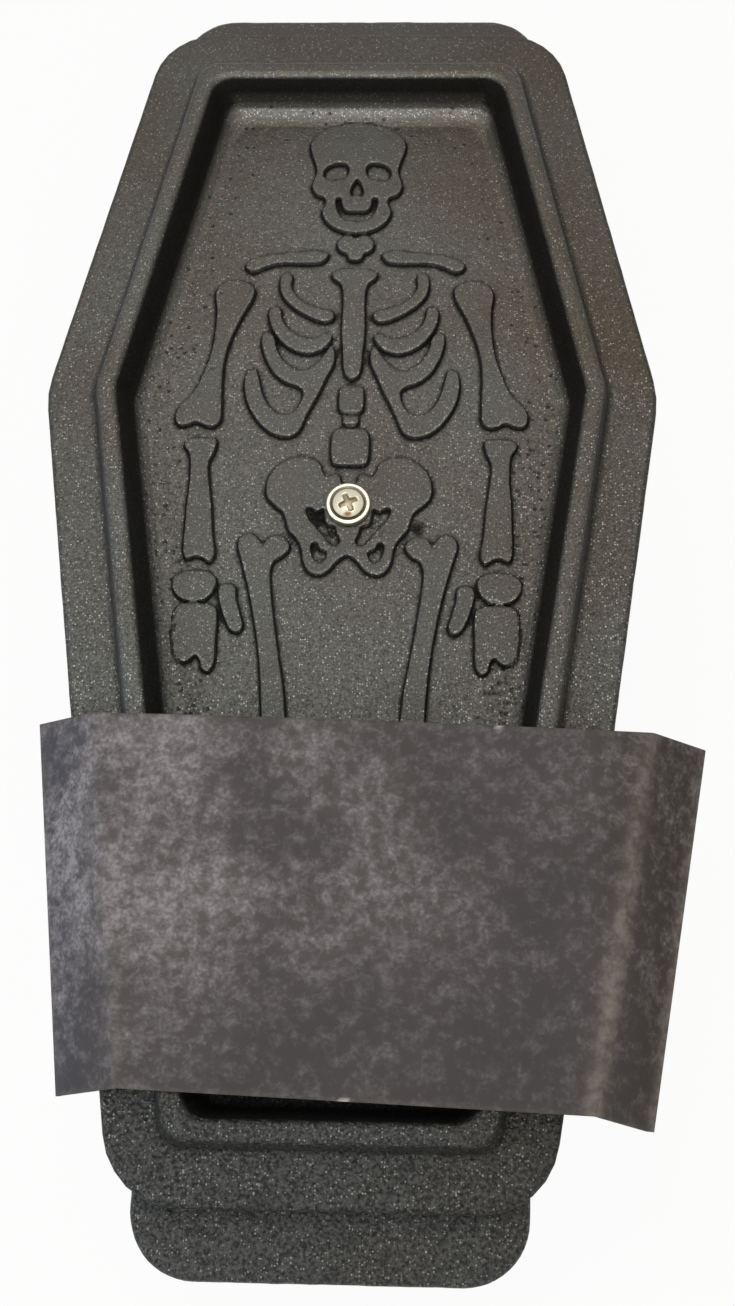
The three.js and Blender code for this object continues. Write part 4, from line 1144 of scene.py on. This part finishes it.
def pan_profiles(pan):
    """The pan's profile in three stretches of [inset, z] points: up its inside, over its rim, where the inset
    counts from the rim's edge, and down its outside. The outer wall's inset falls evenly with height."""
    height, rim_z = PAN_HIGH[2], PAN_HIGH[2] - pan.rim_depth
    mouth = pan.rim_margin + pan.rim_width

    def wall(z):
        """Inset of the outer wall at a height."""
        return mouth - pan.wall_thickness + pan.wall_lean * (1 - z / height)

    inner_foot = wall(pan.base_thickness) + pan.wall_thickness
    inside = rounded([
        [inner_foot + 2 * pan.floor_corner, pan.base_thickness, 0],
        [inner_foot, pan.base_thickness, pan.floor_corner],
        [mouth, height, pan.rim_edge],
        [mouth - 2 * pan.rim_edge, height, 0],
    ], steps=6)
    over = rounded([
        [pan.rim_width - 3 * pan.rim_edge, height, 0],
        [0, height, pan.rim_edge],
        [0, rim_z, pan.rim_edge],
        [wall(rim_z) - pan.rim_margin, rim_z, 0],
    ], steps=5)
    outside = rounded([
        [wall(rim_z) - 2 * EDGE_GAP, rim_z, 0],
        [wall(rim_z), rim_z, UNDER_RIM],
        [wall(0), 0, pan.base_corner],
        [wall(0) + 2 * pan.base_corner, 0, 0],
    ], steps=6)
    return (
        supported(inside, gap=EDGE_GAP, longest=6),
        supported(over[1:-1], gap=0.4, longest=5),
        supported(outside, gap=EDGE_GAP, longest=6),
    )


class LOAFPAN_OT_pan(bpy.types.Operator):
    """Make the pan: its floor carried up the inner wall, over the rim and tabs, down the outside and under"""

    bl_idname = "loaf_pan.pan"
    bl_label = "Pan"

    def execute(self, context):
        use = settings(context)
        coffin, pan = use.coffin, use.pan
        along = places(arc_steps=20, lower_steps=[[1.0, 60]], upper_steps=36, shoulder_steps=8)
        across = np.linspace(-1, 1, PAN_COLUMNS)

        def tub(inset):
            """Right-hand edge of the tub at an inset."""
            return coffin_side(coffin, inset, along)

        def rim(inset):
            """Right-hand edge of the rim and tabs at an inset."""
            return rim_side(coffin, pan, inset, along)

        inside, over, outside = pan_profiles(pan)
        stretches = [(tub, inside), (rim, over), (tub, outside)]
        rings = [level(ring(side(inset), across), z) for side, profile in stretches for inset, z in profile]
        floor = filling(tub(inside[0, 0] + GRID_GAP), across)
        base = filling(tub(outside[-1, 0] + GRID_GAP), across)
        shape = floor.shape[:2]
        floor, base = floor.reshape(-1, 2), base.reshape(-1, 2)
        count, length = len(rings), len(rings[0])
        first = len(floor)
        last = first + count * length
        faces = [
            grid_faces(*shape),
            band(grid_border(*shape), first + np.arange(length)),
            bands(first, count, length),
            band(last - length + np.arange(length), last + grid_border(*shape)),
            last + grid_faces(*shape)[:, ::-1],
        ]
        points = np.concatenate([level(floor, pan.base_thickness), *rings, level(base, 0)])
        iron = finished(seasoned_sand_cast_iron, use.finish)
        piece = mesh_piece("iron_pan", points, faces, [iron], "pan", "pan")
        roughen(piece, pan.unevenness)
        return {"FINISHED"}


# Knob, screw and washer

# Points round the axis of the knob, and of the screw and washer
KNOB_AROUND, SCREW_AROUND = 128, 144


def turned(profile, around):
    """A profile of [radius, z] points turned about the screw's axis: a grid with a row for each point of the
    profile and columns that stand round the axis."""
    angles = np.linspace(0, 2 * math.pi, around, endpoint=False)
    circle = np.stack([np.cos(angles), np.sin(angles)], -1)
    flat = profile[:, None, :1] * circle + SCREW_AXIS
    return level(flat, np.repeat(profile[:, 1:], around, 1)).reshape(-1, 3)


def turned_faces(rows, around, capped):
    """Quads of a turned grid, whose profile is read with the solid on its left. A capped grid is closed by
    fans to two points that follow it, and one that isn't closes on itself."""
    loops = np.arange(rows * around).reshape(rows, around)
    pairs = zip(loops[:-1], loops[1:])
    faces = [np.concatenate([band(b, a) for a, b in pairs])]
    if not capped:
        return [*faces, band(loops[0], loops[-1])]
    ends = rows * around + np.arange(2)
    start = np.stack([np.full(around, ends[0]), np.roll(loops[0], -1), loops[0]], -1)
    stop = np.stack([np.full(around, ends[1]), loops[-1], np.roll(loops[-1], -1)], -1)
    return [*faces, start, stop]


class LOAFPAN_OT_knob(bpy.types.Operator):
    """Make the knob: a profile turned about the screw's axis, hanging inside the pan"""

    bl_idname = "loaf_pan.knob"
    bl_label = "Knob"

    def execute(self, context):
        use = settings(context)
        fit = use.fastening
        radius = (KNOB_HIGH - KNOB_LOW)[0] / 2
        low, high = KNOB_LOW[2], KNOB_HIGH[2]
        shelf, base_z = low + fit.knob_head_height, high - fit.knob_base_height
        bore = fit.screw_diameter / 2 + fit.clearance
        bottom = SCREW_LOW[2] - fit.clearance
        hub, base_edge, seat_edge, bore_edge = 0.2, 0.8, 0.4, 0.2
        profile = supported(rounded([
            [hub, low, 0],
            [radius, low, fit.knob_edge],
            [radius, shelf, fit.knob_edge],
            [fit.knob_neck / 2, shelf, fit.knob_edge / 2],
            [fit.knob_neck / 2, base_z, base_edge],
            [fit.knob_base / 2, base_z, base_edge],
            [fit.knob_base / 2, high, seat_edge],
            [bore, high, bore_edge],
            [bore, bottom, bore_edge],
            [hub, bottom, 0],
        ], steps=8), gap=0.3, longest=3)
        ends = [[*SCREW_AXIS, low], [*SCREW_AXIS, bottom]]
        points = np.vstack([turned(profile, KNOB_AROUND), ends])
        faces = turned_faces(len(profile), KNOB_AROUND, True)
        steel = finished(turned_stainless_steel, use.finish)
        mesh_piece("steel_knob", points, faces, [steel], "lid", "knob")
        return {"FINISHED"}


def make_screw(fit, zinc):
    """Makes the screw: shank, cone and low crown, turned about its axis. The crown falls with the square of
    the radius. The cross recess is sunk where a point's short arm is less than half the recess's width, which
    narrows towards the tips, and its long arm is less than half the span, both with soft sides."""
    head, shank = (SCREW_HIGH - SCREW_LOW)[0] / 2, fit.screw_diameter / 2
    low, top = SCREW_LOW[2], SCREW_HIGH[2]
    rim = top - fit.crown_height
    hub, end_edge, neck_edge, crown_points = 0.1, 0.4, 0.2, 48
    body = supported(rounded([
        [hub, low, 0],
        [shank, low, end_edge],
        [shank, rim - fit.cone_height, neck_edge],
        [head, rim, 0],
    ], steps=6), gap=0.2, longest=2)
    radius = np.linspace(head, hub / 2, crown_points)
    crown = np.stack([radius, rim + fit.crown_height * (1 - (radius / head) ** 2)], -1)
    profile = np.vstack([body[:-1], crown])
    points = np.vstack([turned(profile, SCREW_AROUND), [*SCREW_AXIS, low], [*SCREW_AXIS, top]])

    arm = points[:, :2] - SCREW_AXIS
    arm = abs(swung(arm, np.zeros(2), np.full(len(arm), -fit.cross_turn)))
    long, short = arm.max(1), arm.min(1)
    tip = fit.cross_span / 2
    taper = fit.cross_width / 2 * (1.15 - 0.3 * long / tip)
    sunk = smoothstep(0.22, -0.1, short - taper) * smoothstep(0.3, -0.5, long - tip)
    sunk = np.where(points[:, 2] > rim, sunk, 0)
    under = smoothstep(rim + 0.16, rim - 0.1, points[:, 2])
    points[:, 2] -= fit.cross_depth * sunk
    # Painted shade in the deep part of the cross recess and on the cone under the head's rim
    painted_shade = {"shade_and_flaws": np.maximum(0.7 * smoothstep(0.3, 0.95, sunk), 0.9 * under)}
    faces = turned_faces(len(profile), SCREW_AROUND, True)
    screw = mesh_piece(
        "cross_head_screw", points, faces, [zinc], "lid", "knob_screw", painted_shade
    )
    screw.data.set_sharp_from_angle(angle=CRISP_ANGLE)


def make_washer(fit, zinc):
    """Makes the washer: a closed section turned about the screw's axis, with a cup as steep as the screw's
    cone and painted shade in it."""
    head, shank = (SCREW_HIGH - SCREW_LOW)[0] / 2, fit.screw_diameter / 2
    outer, inner = (WASHER_HIGH - WASHER_LOW)[0] / 2, shank + fit.clearance
    cup = head + fit.cup_gap
    cup_depth = (cup - inner) * fit.cone_height / (head - shank)
    low, high = WASHER_LOW[2], WASHER_HIGH[2]
    middle, seam, edge = (inner + outer) / 2, 0.2, 0.1
    section = supported(rounded([
        [middle, low, 0],
        [outer, low, edge],
        [outer, high, fit.washer_edge],
        [cup, high, edge],
        [inner, high - cup_depth, edge],
        [inner, low, edge / 2],
        [middle - seam, low, 0],
    ], steps=5), gap=0.12, longest=1)
    points = turned(section, SCREW_AROUND)
    faces = turned_faces(len(section), SCREW_AROUND, False)
    radius = np.linalg.norm(points[:, :2] - SCREW_AXIS, axis=1)
    # Painted shade in the cup round the screw's head
    painted_shade = {"shade_and_flaws": 0.75 * smoothstep(0.15, -0.1, radius - cup)}
    mesh_piece("countersunk_washer", points, faces, [zinc], "lid", "knob_washer", painted_shade)


class LOAFPAN_OT_fastening(bpy.types.Operator):
    """Make the screw, with a cross recess sunk into its crown, and the countersunk washer round its head"""

    bl_idname = "loaf_pan.fastening"
    bl_label = "Screw and washer"

    def execute(self, context):
        use = settings(context)
        zinc = finished(bright_zinc_plate, use.finish)
        make_screw(use.fastening, zinc)
        make_washer(use.fastening, zinc)
        return {"FINISHED"}


# Card sleeve

# Rows of points along the sleeve, points on each crease, and points on each stretch of its section: left
# side, left bevel, top, right bevel and right side
SLEEVE_ROWS, CREASE_POINTS = 90, 9
STRETCH_POINTS = [24, 14, 90, 14, 24]


def sleeve_path(coffin, sleeve, lid, y):
    """Inner side of the sleeve's section at places y along it, from the lower left edge over the top to the
    lower right edge, as [x, z] corners about the sleeve's middle with z from the flange's upper face."""
    along_lid = sleeve.to_foot - coffin.length / 2 + y
    half = half_width(coffin, along_lid) + sleeve.play
    top = lid.rib_height + sleeve.seat_gap
    run = sleeve.shift - sleeve.play + sleeve.length / 2 * abs(math.sin(sleeve.turn))
    left = math.atan2(top - 2 * sleeve.seat_gap, run)
    bottom = sleeve.floor_gap - (LID_HIGH[2] - lid.rib_height)
    left_x = -half - sleeve.bevel * math.cos(left)
    right_x = half + sleeve.bevel * math.cos(sleeve.right_slope)
    flat = np.ones_like(half)
    return np.stack([
        np.stack([left_x + sleeve.left_lean, flat * bottom], -1),
        np.stack([left_x, flat * (top - sleeve.bevel * math.sin(left))], -1),
        np.stack([-half, flat * top], -1),
        np.stack([half, flat * top], -1),
        np.stack([right_x, flat * (top - sleeve.bevel * math.sin(sleeve.right_slope))], -1),
        np.stack([right_x - sleeve.right_lean, flat * bottom], -1),
    ], 1)


def folded_section(path, fold):
    """Points of every section along the sleeve, straight between its creases and on arcs of the fold's radius
    at them, and how far down a side each point lies, from 0 at the lower crease to 1 at the lower edge."""
    start, stop, centre, turn = corner_arcs(path, np.full(path.shape[1] - 2, fold))
    share = np.linspace(0, 1, CREASE_POINTS)
    arcs = swung(start[:, :, None], centre[:, :, None], turn[..., None] * share)
    before = np.concatenate([path[:, :1], stop], 1)
    after = np.concatenate([start, path[:, -1:]], 1)
    last = len(STRETCH_POINTS) - 1
    parts, down = [], []
    for k, count in enumerate(STRETCH_POINTS):
        inner = np.linspace(0, 1, count)
        parts.append(before[:, k, None] + (after[:, k] - before[:, k])[:, None] * inner[:, None])
        down.append({0: 1 - inner, last: inner}.get(k, np.zeros(count)))
        if k < last:
            parts.append(arcs[:, k, 1:-1])
            down.append(np.zeros(CREASE_POINTS - 2))
    return np.concatenate(parts, 1), np.concatenate(down)


def shell_faces(rows, columns):
    """Faces of an outer grid, of an inner grid whose points follow it, and of the edges between the two."""
    shift = rows * columns
    grid = np.arange(shift).reshape(rows, columns)

    def edge(line):
        """Quads from a line of the outer grid to the same line of the inner one."""
        return np.stack([line[:-1], line[1:], line[1:] + shift, line[:-1] + shift], -1)

    skin = grid_faces(rows, columns)
    edges = [edge(grid[0])[:, ::-1], edge(grid[-1]), edge(grid[:, 0]), edge(grid[:, -1])[:, ::-1]]
    return [skin, skin[:, ::-1] + shift, np.concatenate(edges)]


def sleeve_wear(sleeve, y, path, inside, footward):
    """Wear and painted highlight of the printed side: a pale line along the creases, partly rubbed print and
    partly a painted highlight, most on the right towards the foot; rubbed along the cut edges; and chipped at
    the nicks."""
    from_crease = np.linalg.norm(inside[:, None] - path[:, 1:-1, None], axis=-1).min(1)
    crease_width, cut_width, cut_strength = 2.3, 0.7, 0.4
    # A pale line along the creases, partly rubbed print and partly a painted highlight, strongest on the
    # right crease towards the foot
    rubbed = fading(from_crease, crease_width) * np.where(inside[..., 0] > 0, 0.7 + 0.5 * footward, 0.25)
    cut = cut_strength * fading(sleeve.length / 2 - abs(y), cut_width)[:, None]
    from_nick = np.min([
        np.hypot(inside[..., 0] - x, (y - end * sleeve.length / 2)[:, None]) for x, end in CARD_NICKS
    ], 0)
    return {"wear_and_highlight": np.maximum(rubbed, cut), "chipped": smoothstep(1.1, 0.5, from_nick)}


class LOAFPAN_OT_sleeve(bpy.types.Operator):
    """Make the card sleeve: a folded section of card carried along its length, with cut edges at its ends"""

    bl_idname = "loaf_pan.sleeve"
    bl_label = "Card sleeve"

    def execute(self, context):
        use = settings(context)
        coffin, lid, sleeve = use.coffin, use.lid, use.sleeve
        y = np.linspace(-sleeve.length / 2, sleeve.length / 2, SLEEVE_ROWS)
        path = sleeve_path(coffin, sleeve, lid, y)
        inside, down = folded_section(path, sleeve.fold)
        flow = unit(np.gradient(inside, axis=1))
        outside = inside + np.stack([-flow[..., 1], flow[..., 0]], -1) * sleeve.thickness

        # The bow of the top, and the trim of the foot edge between stops at shares of the top's half width
        half = (path[:, 3, 0] - path[:, 2, 0])[:, None] / 2
        top_share = np.clip(1 - (inside[..., 0] / half) ** 2, 0, 1) * (inside[..., 1] > 0)
        footward = (0.5 - y / sleeve.length)[:, None]
        lift = (sleeve.head_bow + (sleeve.foot_bow - sleeve.head_bow) * footward) * top_share
        trim_stops = [-1.3, -1, 1, 1.25]
        trims = [0, sleeve.left_trim, sleeve.right_trim, -sleeve.corner_reach]
        trim = np.interp(inside[..., 0] / half, trim_stops, trims)

        def placed(section):
            """Section points [x, z] with their y, bowed, turned and set on the lid."""
            flat = np.stack([section[..., 0], y[:, None] + (sleeve.tuck * down + trim) * footward], -1)
            flat = swung(flat, np.zeros(2), np.full(flat.shape[:2], sleeve.turn))
            middle_y = LID_MIDDLE[1] - coffin.length / 2 + sleeve.to_foot
            z = section[..., 1] + lift + LID_HIGH[2] - lid.rib_height
            return level(flat + [LID_MIDDLE[0] + sleeve.shift, middle_y], z).reshape(-1, 3)

        points = np.vstack([placed(outside), placed(inside)])
        faces = shell_faces(*inside.shape[:2])
        kinds = np.repeat([0, 1, 0], [len(part) for part in faces])
        materials = [finished(make, use.finish) for make in (mottled_printed_card, bare_board)]
        wear_and_light = sleeve_wear(sleeve, y, path, inside, footward)
        unworn = np.zeros(inside[..., 0].size)
        attributes = {key: np.concatenate([values.ravel(), unworn]) for key, values in wear_and_light.items()}
        mesh_piece("printed_sleeve", points, faces, materials, "card_sleeve", "card_sleeve",
                   attributes, kinds)
        return {"FINISHED"}


# Stage

# Half the floor's width, and how far it lies under the pan, in metres
FLOOR_REACH, FLOOR_DROP = 4.0, 0.3 * MM

# Name of each light, its place and width in metres, its power in watts and its colour
LIGHTS = [
    ("key", (-0.06, 0.24, 0.98), 0.34, 3.0, "#fff1de"),
    ("front", (0.06, -0.80, 0.82), 0.5, 3.0, "#fff8ee"),
    ("fill", (-0.90, -0.20, 0.60), 0.6, 2.4, "#cfe4ff"),
]

# The picture's view: the camera's sensor width and focal length, its place, and its tilt, yaw and roll in
# degrees
SENSOR_WIDTH, LENS = 36, 42.12
CAMERA_PLACE = (16.9, -134.0, 401.6)
CAMERA_TURNS = (18.3, -1.84, 0.68)


def aimed(place, target):
    """Matrix that sets a light at a place with its -Z axis towards a target."""
    back = (Vector(place) - Vector(target)).normalized()
    return Matrix.LocRotScale(Vector(place), back.to_track_quat("Z", "Y"), None)


def picture_turn(tilt, yaw, roll):
    """Matrix of a camera that looks straight down with +Y upwards, then tilts its view to +Y, yaws it to its
    right and rolls about it."""
    right, up = Vector((1, 0, 0)), Vector((0, math.cos(tilt), math.sin(tilt)))
    ahead = Vector((0, math.sin(tilt), -math.cos(tilt)))
    ahead, right = (
        math.cos(yaw) * ahead + math.sin(yaw) * right,
        math.cos(yaw) * right - math.sin(yaw) * ahead,
    )
    right, up = (
        math.cos(roll) * right + math.sin(roll) * up,
        math.cos(roll) * up - math.sin(roll) * right,
    )
    return Matrix((right, up, -ahead)).transposed().to_4x4()


class LOAFPAN_OT_stage(bpy.types.Operator):
    """Make the pale floor, the soft lights and the camera at the picture's angle"""

    bl_idname = "loaf_pan.stage"
    bl_label = "Stage"

    def execute(self, context):
        scene = context.scene
        scene.view_settings.view_transform = "Standard"
        use = settings(context)
        mesh = bpy.data.meshes.new("floor")
        signs = ((-1, -1), (1, -1), (1, 1), (-1, 1))
        corners = [(x * FLOOR_REACH, y * FLOOR_REACH, -FLOOR_DROP) for x, y in signs]
        mesh.from_pydata(corners, [], [(0, 1, 2, 3)])
        mesh.materials.append(finished(pale_floor, use.finish))
        floor = bpy.data.objects.new("floor", mesh)
        scene.collection.objects.link(floor)

        world = bpy.data.worlds.new("studio")
        scene.world = world
        world.use_nodes = True
        tree = world.node_tree
        tree.nodes.clear()
        strength = add(tree, "MapRange", {"Value": seen_directly(tree), "To Min": SKY_LIGHT, "To Max": 1})
        sky = add(tree, "Background", {"Color": (1, 1, 1, 1), "Strength": strength})
        add(tree, "OutputWorld", {"Surface": sky})

        target = (0, 0, LID_HIGH[2] * MM)
        for name, place, width, power, code in LIGHTS:
            lamp = bpy.data.lights.new(name, "AREA")
            lamp.size = width
            lamp.energy = power
            lamp.color = linear(code)
            holder = bpy.data.objects.new(name, lamp)
            holder.matrix_world = aimed(place, target)
            scene.collection.objects.link(holder)

        camera = bpy.data.cameras.new("camera")
        camera.sensor_width = SENSOR_WIDTH
        camera.lens = LENS
        camera.clip_start, camera.clip_end = 0.01, 20
        holder = bpy.data.objects.new("camera", camera)
        turn = picture_turn(*(math.radians(degrees) for degrees in CAMERA_TURNS))
        holder.matrix_world = Matrix.Translation(Vector(CAMERA_PLACE) * MM) @ turn
        scene.collection.objects.link(holder)
        scene.camera = holder
        return {"FINISHED"}


class LOAFPAN_PT_panel(bpy.types.Panel):
    """Sizes, colours and makers of the loaf pan."""

    bl_label = "Loaf pan"
    bl_idname = "LOAFPAN_PT_panel"
    bl_space_type = "VIEW_3D"
    bl_region_type = "UI"
    bl_category = "Loaf pan"

    def draw(self, context):
        for maker in MAKERS:
            self.layout.operator(maker.bl_idname)
        for key, group in GROUPS.items():
            box = self.layout.box()
            box.label(text=group.__doc__)
            for name in group.__annotations__:
                box.prop(getattr(context.scene, key), name)


GROUPS = {
    "loaf_coffin": CoffinSizes,
    "loaf_lid": LidSizes,
    "loaf_pan": PanSizes,
    "loaf_fastening": FasteningSizes,
    "loaf_sleeve": SleeveSizes,
    "loaf_finish": Finishes,
}
MAKERS = [
    LOAFPAN_OT_stage,
    LOAFPAN_OT_pan,
    LOAFPAN_OT_lid,
    LOAFPAN_OT_knob,
    LOAFPAN_OT_fastening,
    LOAFPAN_OT_sleeve,
]
CLASSES = [*GROUPS.values(), *MAKERS, LOAFPAN_PT_panel]


def register():
    """Registers the classes and puts the property groups on the scene."""
    for each in CLASSES:
        bpy.utils.register_class(each)
    for key, group in GROUPS.items():
        setattr(bpy.types.Scene, key, bpy.props.PointerProperty(type=group))


def unregister():
    """Takes the property groups off the scene and unregisters the classes."""
    for key in GROUPS:
        delattr(bpy.types.Scene, key)
    for each in reversed(CLASSES):
        bpy.utils.unregister_class(each)


def main():
    """Builds everything through the operators."""
    register()
    bpy.ops.loaf_pan.stage()
    bpy.ops.loaf_pan.pan()
    bpy.ops.loaf_pan.lid()
    bpy.ops.loaf_pan.knob()
    bpy.ops.loaf_pan.fastening()
    bpy.ops.loaf_pan.sleeve()


if __name__ == "__main__":
    main()
